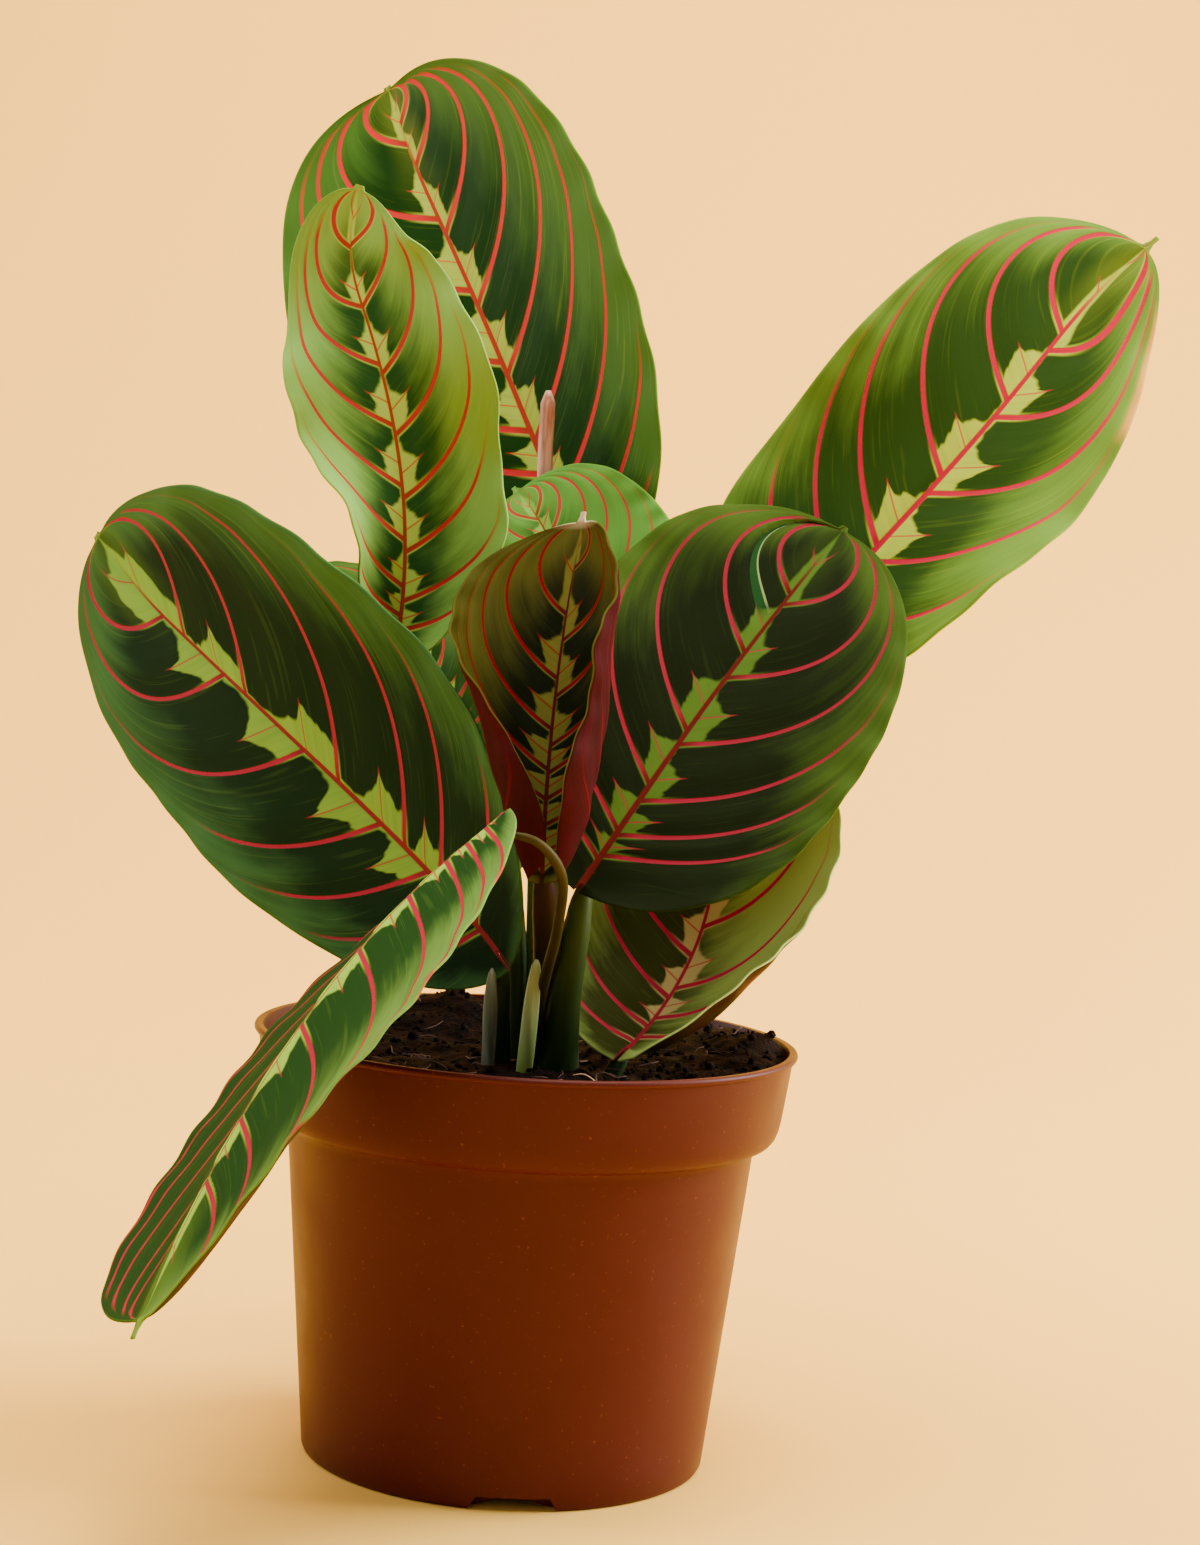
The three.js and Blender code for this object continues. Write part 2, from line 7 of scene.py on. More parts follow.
import logging
import math
import random
from collections.abc import Iterable, Sequence
from dataclasses import dataclass, field, replace
from enum import Enum
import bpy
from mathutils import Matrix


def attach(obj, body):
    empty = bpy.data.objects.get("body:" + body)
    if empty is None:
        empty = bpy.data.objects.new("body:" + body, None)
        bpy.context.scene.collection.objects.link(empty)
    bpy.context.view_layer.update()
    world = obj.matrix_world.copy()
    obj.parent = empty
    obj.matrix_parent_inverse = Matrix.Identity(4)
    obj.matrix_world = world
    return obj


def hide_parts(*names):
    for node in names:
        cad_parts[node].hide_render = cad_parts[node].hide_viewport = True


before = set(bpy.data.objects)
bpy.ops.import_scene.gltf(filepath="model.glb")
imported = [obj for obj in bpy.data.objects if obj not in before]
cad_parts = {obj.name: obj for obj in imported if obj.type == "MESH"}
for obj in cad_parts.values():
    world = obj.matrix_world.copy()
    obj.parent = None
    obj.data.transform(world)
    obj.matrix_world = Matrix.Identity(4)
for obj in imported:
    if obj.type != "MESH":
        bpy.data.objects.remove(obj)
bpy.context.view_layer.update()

from types import SimpleNamespace
from typing import Any

import bmesh
import bpy
import numpy as np
from mathutils import Matrix, Vector, noise

LOG = logging.getLogger("prayer_plant")
MM = 0.001
TAU = 2 * math.pi
SOIL_TOP = 88.0  # height of the level soil, in millimetres
FOOT = 80.0  # height of the stalks' feet, in the soil

Colour = tuple[float, float, float, float]
Point = tuple[float, float, float]
Grey = tuple[float, float]
Array = np.ndarray


# ---- Small helpers ----

# The property that the second word of a node's kind sets, and the kinds that come up most.
OPTIONS = {"Math": "operation", "Mix": "data_type", "MapRange": "interpolation_type"}
TIMES = "Math MULTIPLY"
MINUS = "Math SUBTRACT"
TIMES_PLUS = "Math MULTIPLY_ADD"
EASE = "MapRange SMOOTHSTEP"
MIX = "Mix RGBA"


def linear(hex_colour: str) -> Colour:
    """Turns an sRGB hex colour to linear.

    Args:
        hex_colour: The colour, such as "#9A3C18".

    Returns:
        Red, green, blue and an alpha of 1.
    """
    shares = [int(hex_colour[i : i + 2], 16) / 255 for i in (1, 3, 5)]
    red, green, blue = (s / 12.92 if s <= 0.04045 else ((s + 0.055) / 1.055) ** 2.4 for s in shares)
    return red, green, blue, 1.0


class Skin:
    """A node material in the making, with a Principled shader on its output."""

    def __init__(self, name: str) -> None:
        """Makes the material, empty but for its shader and output.

        Args:
            name: The material's name.
        """
        self.material = bpy.data.materials.new(name)
        self.material.use_nodes = True
        self.tree = self.material.node_tree
        self.tree.nodes.clear()
        self.shader = self.add("BsdfPrincipled")
        self.add("OutputMaterial", self.shader)

    def wire(self, inputs: Iterable[tuple[bpy.types.NodeSocket, Any]]) -> None:
        """Sets input sockets to values, or links them.

        Args:
            inputs: Pairs of an input and its value, or the node or output that it is linked to.
        """
        for socket, value in inputs:
            if isinstance(value, bpy.types.Node):
                value = next(output for output in value.outputs if output.enabled)
            if isinstance(value, bpy.types.NodeSocket):
                self.tree.links.new(value, socket)
            else:
                socket.default_value = value

    def add(self, kind: str, *values: Any, greys: Sequence[Grey] = (), **named: Any) -> bpy.types.Node:
        """Adds a node with its settings and links.

        Args:
            kind: The node's type, without the leading ShaderNode, then perhaps its main option.
            *values: What its inputs get, in the order in which they show.
            greys: Places and greys of a colour ramp: its two ends, then the rest.
            **named: The node's own properties and, with a capital, other inputs.

        Returns:
            The new node.
        """
        kind, _, option = kind.partition(" ")
        made = self.tree.nodes.new("ShaderNode" + kind)
        if option:
            setattr(made, OPTIONS[kind], option)
        for name in filter(str.islower, named):
            setattr(made, name, named[name])
        shown = (socket for socket in made.inputs if socket.enabled)
        self.wire(zip(shown, values))
        self.wire((made.inputs[name], value) for name, value in named.items() if not name.islower())
        for i, (place, grey) in enumerate(greys):
            ramp = made.color_ramp.elements
            stop = ramp[i] if i < 2 else ramp.new(place)
            stop.position, stop.color = place, (grey,) * 4
        return made

    def finish(self, inputs: dict[str, Any]) -> bpy.types.Material:
        """Sets or links the shader's inputs, by name, and gives the material."""
        self.wire((self.shader.inputs[name], value) for name, value in inputs.items())
        return self.material


def add_object(name: str, data: Any) -> bpy.types.Object:
    """Makes an object and links it to the scene.

    Args:
        name: The object's name.
        data: Its mesh, lamp or camera.

    Returns:
        The object.
    """
    made = bpy.data.objects.new(name, data)
    bpy.context.scene.collection.objects.link(made)
    return made


def add_mesh(bm: bmesh.types.BMesh, name: str, smooth: bool = True) -> bpy.types.Object:
    """Turns a bmesh into an object, and frees it.

    Args:
        bm: The finished bmesh, in metres.
        name: The name of the mesh and the object.
        smooth: Whether its faces are shaded smooth.

    Returns:
        The object.
    """
    mesh = bpy.data.meshes.new(name)
    for face in bm.faces:
        face.smooth = smooth
    bm.to_mesh(mesh)
    bm.free()
    return add_object(name, mesh)


def add_modifier(piece: bpy.types.Object, name: str, kind: str, **settings: Any) -> None:
    """Adds a modifier with its settings.

    Args:
        piece: The object that gets it.
        name: The modifier's name.
        kind: Its type, such as "SOLIDIFY".
        **settings: Its own properties.
    """
    made = piece.modifiers.new(name, kind)
    for key, value in settings.items():
        setattr(made, key, value)


def finish_piece(
    bm: bmesh.types.BMesh,
    name: str,
    slot: str,
    materials: Sequence[bpy.types.Material],
    *nodes: str,
) -> bpy.types.Object:
    """Turns a bmesh into a smooth piece that rides on the plant.

    Args:
        bm: The finished bmesh, in metres and in place. It is freed.
        name: The piece's name.
        slot: The name of its material slot. It is not used.
        materials: Its materials, in the order of its faces' indices.
        *nodes: The CAD nodes that it stands for.

    Returns:
        The new object.
    """
    piece = add_mesh(bm, name)
    for material in materials:
        piece.data.materials.append(material)
    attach(piece, "root")
    if nodes:
        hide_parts(*nodes)
    LOG.info("%s: %d faces", name, len(piece.data.polygons))
    return piece


def smooth_path(points: Sequence[Point], step: float) -> list[Vector]:
    """Follows a centripetal Catmull-Rom curve through points.

    Args:
        points: The points that it passes, in millimetres.
        step: The length of one step, in millimetres.

    Returns:
        Points along the curve, about a step apart, in millimetres.
    """
    knots = [Vector(p) for p in points]
    knots = [2 * knots[0] - knots[1], *knots, 2 * knots[-1] - knots[-2]]
    found: list[Vector] = []
    for a, b, c, d in zip(knots, knots[1:], knots[2:], knots[3:]):
        t1 = (b - a).length ** 0.5
        t2 = t1 + (c - b).length ** 0.5
        t3 = t2 + (d - c).length ** 0.5
        count = max(2, round((c - b).length / step))
        for i in range(count):
            t = t1 + (t2 - t1) * i / count
            p = a.lerp(b, t / t1)
            q = b.lerp(c, (t - t1) / (t2 - t1))
            r = c.lerp(d, (t - t2) / (t3 - t2))
            found.append(p.lerp(q, t / t2).lerp(q.lerp(r, (t - t1) / (t3 - t1)), (t - t1) / (t2 - t1)))
    found.append(knots[-2])
    return found


def sweep(
    bm: bmesh.types.BMesh,
    path: Sequence[Vector],
    radii: Sequence[float],
    sides: int,
    material: int = 0,
) -> None:
    """Sweeps a round section along a path and closes both ends.

    Args:
        bm: The bmesh that gets the tube.
        path: The centre line, in millimetres.
        radii: The radius at each point of the path, in millimetres.
        sides: The number of sides of the section.
        material: The material index of its faces.
    """
    before = set(bm.faces)
    ahead, behind = [*path[1:], path[-1]], [path[0], *path[:-1]]
    tangents = [(a - b).normalized() for a, b in zip(ahead, behind)]
    turn = tangents[0].to_track_quat("Z", "Y")
    places = []
    for i, (point, tangent) in enumerate(zip(path, tangents)):
        if i:
            turn = tangents[i - 1].rotation_difference(tangent) @ turn
        size = Matrix.Diagonal((radii[i] * MM, radii[i] * MM, radii[i] * MM, 1))
        places.append(Matrix.Translation(point * MM) @ turn.to_matrix().to_4x4() @ size)
    ring = bmesh.ops.create_circle(bm, cap_ends=True, segments=sides, radius=1, matrix=places[0])["verts"]
    edges = list(dict.fromkeys(edge for vert in ring for edge in vert.link_edges))
    for last, place in zip(places, places[1:]):
        made = bmesh.ops.extrude_edge_only(bm, edges=edges)["geom"]
        ring = [item for item in made if isinstance(item, bmesh.types.BMVert)]
        edges = [item for item in made if isinstance(item, bmesh.types.BMEdge)]
        bmesh.ops.transform(bm, matrix=place @ last.inverted(), verts=ring)
        edges = [edge for edge in edges if all(v in ring for v in edge.verts)]
    bmesh.ops.contextual_create(bm, geom=edges)
    made_faces = [face for face in bm.faces if face not in before]
    bmesh.ops.recalc_face_normals(bm, faces=made_faces)
    for face in made_faces:
        face.material_index = material


# ---- Leaf finishes ----


@dataclass(frozen=True)
class BladeFinish:
    """Living leaf blade, satin: a dark ground, a pale feather along the midrib and red veins.

    The real surface is a waxy skin over green tissue, so the eye gets a soft, broad sheen, colour
    in the depth, and fine stripes of tissue along the veins.
    """

    name: str
    dark: str  # ground beside the midrib
    light: str  # ground towards the margin
    feather: str
    vein: str
    rib: str
    under: str = "#44342C"
    lobe_mm: float = 9.0  # reach of the feather's lobes from the midrib
    dark_reach: float = 0.66  # share of the half width that the dark ground covers
    vein_mm: float = 0.5  # half width of a main vein beside the midrib
    rib_mm: float = 0.6  # half width of the midrib at its base
    tip_haze: float = 0.5  # how much lighter the ground is at the tip
    painted_base_shade: float = 0.1  # painted shade: how much darker the ground is drawn at the base, where it lies in shadow
    start: float = 0.0  # share of the length where the feather begins
    tip_reach: float = 0.4  # reach of the lobes near the tip, as a share
    neck_mm: float = 0.5  # half width of the feather between its lobes
    vein_end: float = 0.9  # share of the half width where its veins fade
    roughness: float = 0.44
    sheen: float = 0.09

    # Tissue by its grains to a vein spacing, its grains to a millimetre outwards, and its detail:
    # stripes 1 mm apart, clouds, hairlines 0.2 mm wide, and the lobes' own unevenness.
    TISSUE = {"stripes": (13.0, 0.05, 2.0), "clouds": (2.4, 0.1, 3.0), "hairs": (30.0, 0.08, 0.0),
              "wide": (2.3, 0.0, 1.0), "fine": (9.0, 0.0, 1.0)}

    def build(self) -> list[bpy.types.Material]:
        """Makes the upper and the lower material."""
        return [self._upper(), self._lower()]

    def _fields(self, skin: Skin) -> SimpleNamespace:
        """Reads the blade's own coordinates and works out its lines.

        Args:
            skin: The material that gets the nodes.

        Returns:
            Sockets and nodes by name: lengths in millimetres, shares and masks.
        """
        node = skin.add
        (along, rim, out), (phase, pitch, seed), (tear, dry, pale) = (
            node("SeparateXYZ", node("Attribute", attribute_name=name).outputs["Vector"]).outputs
            for name in ("blade", "vein", "mark"))
        tissue = {}
        for name, (across, outwards, detail) in self.TISSUE.items():
            place = node("CombineXYZ", node(TIMES, phase, across), node(TIMES, out, outwards), seed)
            tissue[name] = node("TexNoise", place, 1.0, detail)

        # Main veins taper from the midrib to the margin and fade before they reach it.
        part = node("Math FRACT", phase)
        gap = node(TIMES, node("Math MINIMUM", part, node(MINUS, 1.0, part)), pitch)
        width = node("MapRange", rim, 0.0, 1.0, self.vein_mm, 0.5 * self.vein_mm)
        edge = node("Math DIVIDE", gap, width)
        wander = node(TIMES_PLUS, tissue["clouds"], 0.3, rim)
        fade = node(EASE, wander, self.vein_end, self.vein_end + 0.22, 1.0, 0.0)
        crowded = node("MapRange", pitch, 1.1, 2.2)
        for share in (node("MapRange", phase, -0.25, -0.2), crowded):
            fade = node(TIMES, fade, share)
        core = node(TIMES, node(EASE, edge, 0.65, 1.15, 1.0, 0.0), fade)
        halo = node(TIMES, node(EASE, edge, 1.0, 2.0, 1.0, 0.0), fade)
        halo = node(TIMES, halo, node(EASE, out, 2.0, 9.0, 1.0, 0.0))

        # The midrib narrows from base to tip and fades before the tip.
        rib_width = node("MapRange", along, 0.0, 1.0, self.rib_mm, 0.4 * self.rib_mm)
        rib = node(EASE, node("Math DIVIDE", out, rib_width), 0.7, 1.15, 1.0, 0.0)
        rib = node(TIMES, rib, node(EASE, along, 0.78, 0.94, 1.0, 0.0))

        # A thin vein runs out between two main veins, to the point of the feather's lobe. A tear draws a dark
        # green strip just past the step where the blade sinks, and beside it a pale torn line.
        thin, apart, beside = (
            node("Math ABSOLUTE", node(MINUS, part, middle)) for middle in (0.44, 0.5, 0.575))
        thin = node(EASE, node(TIMES, thin, pitch), 0.1, 0.3, 1.0, 0.0)
        return SimpleNamespace(
            along=along, rim=rim, out=out, part=part, core=core, halo=halo, rib=rib, dry=dry, pale=pale,
            thin=node(TIMES, thin, crowded), **tissue,
            torn=node(TIMES, node(EASE, beside, 0.01, 0.022, 1.0, 0.0), tear),
            tear=node(TIMES, node(EASE, apart, 0.06, 0.08, 1.0, 0.0), tear))

    def _upper(self) -> bpy.types.Material:
        """Makes the material of the upper face.

        Returns:
            The material, which reads the attributes "blade", "vein", "mark" and "shade".
        """
        skin = Skin(f"leaf blade {self.name}, upper")
        node = skin.add
        f = self._fields(skin)
        tones = (self.dark, self.light, self.feather, self.vein, self.rib)
        dark, light, feather, vein, rib = (linear(tone) for tone in tones)

        # Ground: dark beside the midrib, lighter outwards, with softly striped ends.
        slant = node(TIMES_PLUS, f.part, 0.1, f.rim)
        for tissue, depth in ((f.stripes, 0.16), (f.clouds, 0.45)):
            slant = node(TIMES_PLUS, node(MINUS, tissue, 0.5), depth, slant)
        slant = node("Math ADD", slant, node(EASE, f.along, 0.72, 1.0, 0.0, self.tip_haze))
        # Painted shade: the ground is drawn darker towards the base and over each half by its own amount,
        # standing in for shadow; a negative amount paints light instead.
        painted_shade = node("Attribute", attribute_name="painted_shade").outputs["Fac"]
        for darker in (node("MapRange", f.along, 0.0, 0.45, self.painted_base_shade, 0.0), painted_shade):
            slant = node(MINUS, slant, darker)
        lightness = node(EASE, slant, self.dark_reach - 0.24, self.dark_reach + 0.34)
        hairs = node(TIMES, node(EASE, f.hairs, 0.64, 0.78, 0.0, 0.11), node(EASE, lightness, -0.5, 0.6))

        # Feather: one lobe to each space between veins, its point on the thin vein.
        lobe = node("ValToRGB", f.part, greys=(
            (0.0, 0.62), (1.0, 0.04), (0.2, 0.62), (0.36, 0.8), (0.44, 1.0), (0.49, 0.66), (0.6, 0.42),
            (0.7, 0.12), (0.8, 0.02)))
        taper = node("ValToRGB", f.along, greys=(
            (self.start, 0.0), (1.0, 0.0), (self.start + 0.06, 0.9), (0.4, 1.0), (0.65, 0.75),
            (0.82, self.tip_reach), (0.93, 0.5 * self.tip_reach)))
        reach = node(TIMES_PLUS, node(MINUS, f.fine, 0.5), 0.3, lobe)
        for share in (node("MapRange", f.wide, 0.3, 0.7, 0.75, 1.2), taper):
            reach = node(TIMES, reach, share)
        reach = node(TIMES_PLUS, reach, self.lobe_mm, node(TIMES, taper, self.neck_mm))
        inside = node(MINUS, reach, f.out)
        haze = node(TIMES, node(EASE, f.along, 0.7, 0.95, 0.0, 0.2), node(EASE, inside, -6.0, 0.0))
        pale = node("Math MAXIMUM", node(EASE, inside, -0.4, 0.5), node(TIMES, f.halo, 0.85))
        pale = node("Math MAXIMUM", pale, haze)

        # Over the ground: the feather, the veins from the thinnest to the midrib, a thin pale margin,
        # and what the years left: a tear, a dry margin and a pale patch.
        colour = node(MIX, lightness, dark, light)
        for share, tone in (
            (hairs, feather),
            (pale, node(MIX, node(EASE, f.stripes, 0.35, 0.75, 0.0, 0.22), feather, light)),
            (node(TIMES, f.thin, node(EASE, inside, -1.6, 0.2, 0.0, 0.75)), vein),
            (f.core, node(MIX, node(EASE, f.out, 0.5, 5.0), rib, vein)),
            (f.rib, rib),
            (node(EASE, f.rim, 0.985, 1.0, 0.0, 0.12), feather),
            (f.tear, linear("#1C4420")),
            (f.torn, linear("#7E9464")),
            (f.dry, linear("#D8A048")),
            (f.pale, linear("#C9B79A")),
        ):
            colour = node(MIX, share, colour, tone)
        return self._dress(skin, f, colour, 1.0)

    def _lower(self) -> bpy.types.Material:
        """Makes the material of the lower face: the same veins, raised, on a duller ground.

        Returns:
            The material, on the blade's own coordinates.
        """
        skin = Skin(f"leaf blade {self.name}, lower")
        f = self._fields(skin)
        cloud = skin.add("MapRange", f.clouds, 0.35, 0.65, 0.0, 0.35)
        faint = skin.add(TIMES, f.core, 0.35)
        colour = linear(self.under)
        for share, tone in ((cloud, self.dark), (faint, self.vein), (f.rib, self.rib)):
            colour = skin.add(MIX, share, colour, linear(tone))
        return self._dress(skin, f, colour, -1.0)

    def _dress(self, skin: Skin, f: SimpleNamespace, colour: Any, way: float) -> bpy.types.Material:
        """Gives a face its colour and its waxy skin: sheen, depth and fine relief.

        Args:
            skin: The material in the making.
            f: The blade's fields.
            colour: The node that ends its colours.
            way: 1 where veins are sunk, -1 where they stand proud.

        Returns:
            The finished material.
        """
        node = skin.add
        # The skin's cells are too fine to show: drawn 0.45 mm wide.
        cells = node("TexNoise", node("TexCoord").outputs["Object"], 1 / (0.45 * MM), 1.0)
        relief = node(TIMES_PLUS, f.stripes, 0.5, node(TIMES, cells, 0.2))
        relief = node(TIMES_PLUS, node("Math MAXIMUM", f.core, f.rib), -0.7 * way, relief)
        return skin.finish({
            "Base Color": colour,
            "Roughness": node("MapRange", f.stripes, 0.3, 0.7, self.roughness - 0.05, self.roughness + 0.07),
            "Normal": node("Bump", 0.55, 0.22 * MM, Height=relief),
            "IOR": 1.42,
            "Specular IOR Level": self.sheen if way > 0 else 0.3 * self.sheen,
            "Specular Tint": linear("#A8D88C"),
            "Subsurface Weight": 0.05,
            "Subsurface Radius": (0.5, 0.8, 0.2),
            "Subsurface Scale": 0.6 * MM,
        })


# ---- Leaf blades ----


class Blemish(Enum):
    """Part of the corner attribute "mark" that a blemish is written to."""

    TEAR = 0
    DRY = 1
    PALE = 2


@dataclass(frozen=True)
class Mark:
    """A blemish of a blade, between two shares of its length, or two counts of its veins.

    It also lies between two shares of the half width. soft is the width of its edges; drop is how
    far the blade sinks past it, in millimetres.
    """

    kind: Blemish
    right: bool
    low: float
    high: float
    rim_low: float
    rim_high: float
    soft: float = 0.03
    by_count: bool = False
    drop: float = 0.0

    def cover(self, u: Array, v: Array, phase: Array) -> Array:
        """Finds what it covers of the blade.

        Args:
            u: Shares of the length.
            v: Shares of the half width, negative on the left.
            phase: The count of veins at each point.

        Returns:
            How much of it covers each point, from 0 to 1.
        """
        place = phase if self.by_count else u
        reach = np.abs(v)
        ways = (place - self.low, self.high - place, reach - self.rim_low, self.rim_high - reach)
        inside = np.minimum.reduce([np.clip(way / self.soft + 0.5, 0, 1) for way in ways])
        return inside * ((v >= 0) == self.right)

    def sunk(self, v: Array, phase: Array) -> Array:
        """Finds where the blade sinks beside it.

        Args:
            v: Shares of the half width, negative on the left.
            phase: The count of veins at each point.

        Returns:
            The depth at each point, in millimetres.
        """
        past = phase - self.low
        step = np.clip(past / 0.08, 0, 1) * np.exp(-np.maximum(past, 0) * 1.3)
        return self.drop * step * np.clip(np.abs(v) * 2.5, 0, 1) * ((v >= 0) == self.right)


@dataclass(frozen=True)
class Half:
    """One half of a blade, from the midrib to a margin; angles are in degrees.

    full is how square its shoulders are towards the base and the tip. Its veins leave the midrib
    at these shares of the length. pull is how far inside the margin the veins near the tip stay.
    """

    crease: float
    curl_base: float
    curl_tip: float
    wave: float
    phase: float
    full: tuple[float, float]
    veins: tuple[float, ...]
    pull: float = 0.6
    painted_shade: float = 0.0  # painted shade: how much darker its ground is drawn where it lies in shadow; below 0, painted light shining through it


class Shape(Enum):
    """Share of the rows and columns that a blade gets."""

    PLAIN = 1.0
    ROLLED = 1.3


@dataclass
class LeafBlade:
    """One leaf blade, laid out from its base along a curved midrib.

    base is where the stalk joins, in millimetres. Heading and rise give the midrib's direction at
    the base, bend and hook its fall along the way, swing and sway its way sideways, roll and twist
    its turn about itself, all in degrees. share is the right half's part of the width.
    """

    name: str
    base: Point
    length: float
    width: float
    heading: float
    rise: float
    bend: float
    hook: float
    swing: float
    sway: float
    roll: float
    twist: float
    share: float
    left: Half
    right: Half
    finish: BladeFinish
    slot: str
    blunt: float = 0.9  # where the widest row lies
    lobe: float = 2.0
    shape: Shape = Shape.PLAIN
    drip: float = 1.0  # share of the drip tip that shows
    marks: tuple[Mark, ...] = ()
    rows: int = 160
    columns: int = 72
    thickness: float = 0.5
    quilting: float = 0.45  # how far the blade swells between two veins
    seed: int = 0

    ROUNDNESS = 0.5
    TIP_START = 0.97  # share of the length where the drip tip begins
    TIP_HALF = 1.3
    END_HALF = 0.6
    ROLL_RADIUS = 2.0
    HOOK_START = 0.7
    WAVES = 3
    WALK = 240  # steps along the midrib
    LAST_VEIN = 1.03  # share of the length where the last, unseen vein would start
    CHANNEL = 0.55  # depth over the midrib
    RIPPLE = 0.35  # height of the ripple along the margin

    def outline(self, u: Array, right: Array) -> Array:
        """Draws one side's outline.

        Args:
            u: Shares of the length.
            right: Whether each lies on the right.

        Returns:
            The half width there, as a share of the widest.
        """
        s = np.clip(u / self.TIP_START, 0, 1) ** self.blunt
        low = np.where(right, self.right.full[0], self.left.full[0])
        high = np.where(right, self.right.full[1], self.left.full[1])
        shoulder = np.where(s < 0.5, low, high)
        return np.clip(1 - np.abs(2 * s - 1) ** shoulder, 0, 1) ** self.ROUNDNESS

    def half_width(self, u: Array, right: Array) -> Array:
        """Measures the blade across, with its drip tip.

        Args:
            u: Shares of the length.
            right: Whether each lies on the right.

        Returns:
            The half width there, in millimetres.
        """
        part = np.where(right, self.share, 2 - self.share)
        body = self.outline(u, right) * self.width * part / 2
        drip = self.TIP_HALF * np.clip((1 - u) / (1 - self.TIP_START), 0, 1)
        drip = np.where(u > self.TIP_START - 0.03, drip, 0)
        return np.maximum(np.maximum(body, drip), self.END_HALF)

    def axes(self, u: Array) -> tuple[Array, Array, Array]:
        """Gives the midrib's direction, the blade's right side and its upper face.

        Args:
            u: Shares of the length.

        Returns:
            Three arrays of unit vectors.
        """
        t = np.clip((u - self.HOOK_START) / (1 - self.HOOK_START), 0, 1)
        rise = np.radians(self.rise - self.bend * u - self.hook * t * t * (3 - 2 * t))
        heading = np.radians(self.heading + self.swing * u + self.sway * np.sin(TAU * u))
        roll = np.radians(self.roll + self.twist * u)[:, None]
        east, north, ahead = np.cos(heading), np.sin(heading), np.cos(rise)
        along = np.stack([ahead * east, ahead * north, np.sin(rise)], -1)
        level = np.stack([north, -east, np.zeros_like(heading)], -1)
        upright = np.cross(level, along)
        right = np.cos(roll) * level + np.sin(roll) * upright
        return along, right, np.cos(roll) * upright - np.sin(roll) * level

    def midrib(self, u: Array) -> Array:
        """Walks along the midrib from the base.

        Args:
            u: Shares of the length.

        Returns:
            The points there, in millimetres.
        """
        steps = np.linspace(0, 1, self.WALK + 1)
        along = self.axes(steps)[0]
        walk = np.vstack([np.zeros(3), np.cumsum((along[1:] + along[:-1]) / 2, axis=0)])
        walk = np.array(self.base) + walk * self.length / self.WALK
        return np.stack([np.interp(u, steps, walk[:, i]) for i in range(3)], -1)

    def vein_count(self, u: Array, v: Array, half: Half) -> Array:
        """Counts veins across a half: whole numbers lie on its main veins.

        A vein leaves the midrib at a wide angle and bends until it runs along the margin. Between
        the veins the count rises smoothly.

        Args:
            u: Shares of the length.
            v: Shares of the half width, from 0 to 1.
            half: The half of the blade.

        Returns:
            The count at each point.
        """
        starts = np.array([*half.veins, self.LAST_VEIN])
        right = np.full(starts.shape, half is self.right)
        reach = self.LAST_VEIN - half.pull * starts**2.2
        slope = 1.6 + 1.6 * np.exp(-starts / 0.08)
        bend = reach * self.half_width(np.minimum(starts, 0.9), right) / self.length / slope
        ahead = u[:, None] - starts[None, :]
        bent = reach * (1 - np.exp(-np.maximum(ahead, 0) / bend))
        places = np.where(ahead > 0, bent, ahead * reach / bend)
        places = np.hstack([np.full((len(u), 1), 1.3), places])
        places = np.minimum.accumulate(places - 1e-3 * np.arange(places.shape[1]), axis=1)[:, ::-1]

        # Smooth monotone curve through the veins, with mean slopes of up to three times the least.
        span = np.diff(places, axis=1)
        rate = 1 / span
        mean = (rate[:, :-1] * span[:, 1:] + rate[:, 1:] * span[:, :-1]) / (span[:, 1:] + span[:, :-1])
        inner = np.minimum(mean, 3 * np.minimum(rate[:, :-1], rate[:, 1:]))
        slopes = -np.hstack([rate[:, :1], inner, rate[:, -1:]])
        row = np.arange(len(u))
        at = np.clip(np.sum(places <= v[:, None], axis=1) - 1, 0, span.shape[1] - 1)
        wide = span[row, at]
        t = (v - places[row, at]) / wide
        count = len(starts) - 1 - at
        down = t * t * (3 - 2 * t)
        ease = (t * (1 - t) ** 2 * slopes[row, at] - t * t * (1 - t) * slopes[row, at + 1]) * wide
        return count - down + ease

    def vein_lines(self, u: Array, v: Array, half: Half) -> tuple[Array, Array]:
        """Counts veins across a half and measures how far apart they are.

        Args:
            u: Shares of the length.
            v: Shares of the half width, from 0 to 1.
            half: The half of the blade.

        Returns:
            The count and the spacing, in millimetres, at each point.
        """
        step = 1e-3
        right = np.full(u.shape, half is self.right)
        count = self.vein_count(u, v, half)
        wide = self.half_width(u, right)
        grow = (self.half_width(u + step, right) - wide) / step
        along = (self.vein_count(u + step, v, half) - count) / step
        across = (self.vein_count(u, v + step, half) - count) / step
        sideways = across / wide
        forward = (along - across * v * grow / wide) / self.length
        return count, np.clip(1 / np.maximum(np.hypot(sideways, forward), 1e-3), 0.05, 60)

    def surface(self, u: Array, v: Array, phase: Array, out: Array) -> Array:
        """Gives points of the blade's middle surface.

        Args:
            u: Shares of the length.
            v: Shares of the half width, negative on the left.
            phase: The count of veins at each point.
            out: The distance from the midrib, in millimetres.

        Returns:
            The points, in metres.
        """
        along, right, up = self.axes(u)
        on_right = v >= 0
        reach = np.abs(v)
        sign = np.where(on_right, 1.0, -1.0)
        half = self.half_width(u, on_right)

        def pick(name: str) -> Array:
            """Reads a number of the half that each point lies on."""
            return np.where(on_right, getattr(self.right, name), getattr(self.left, name))

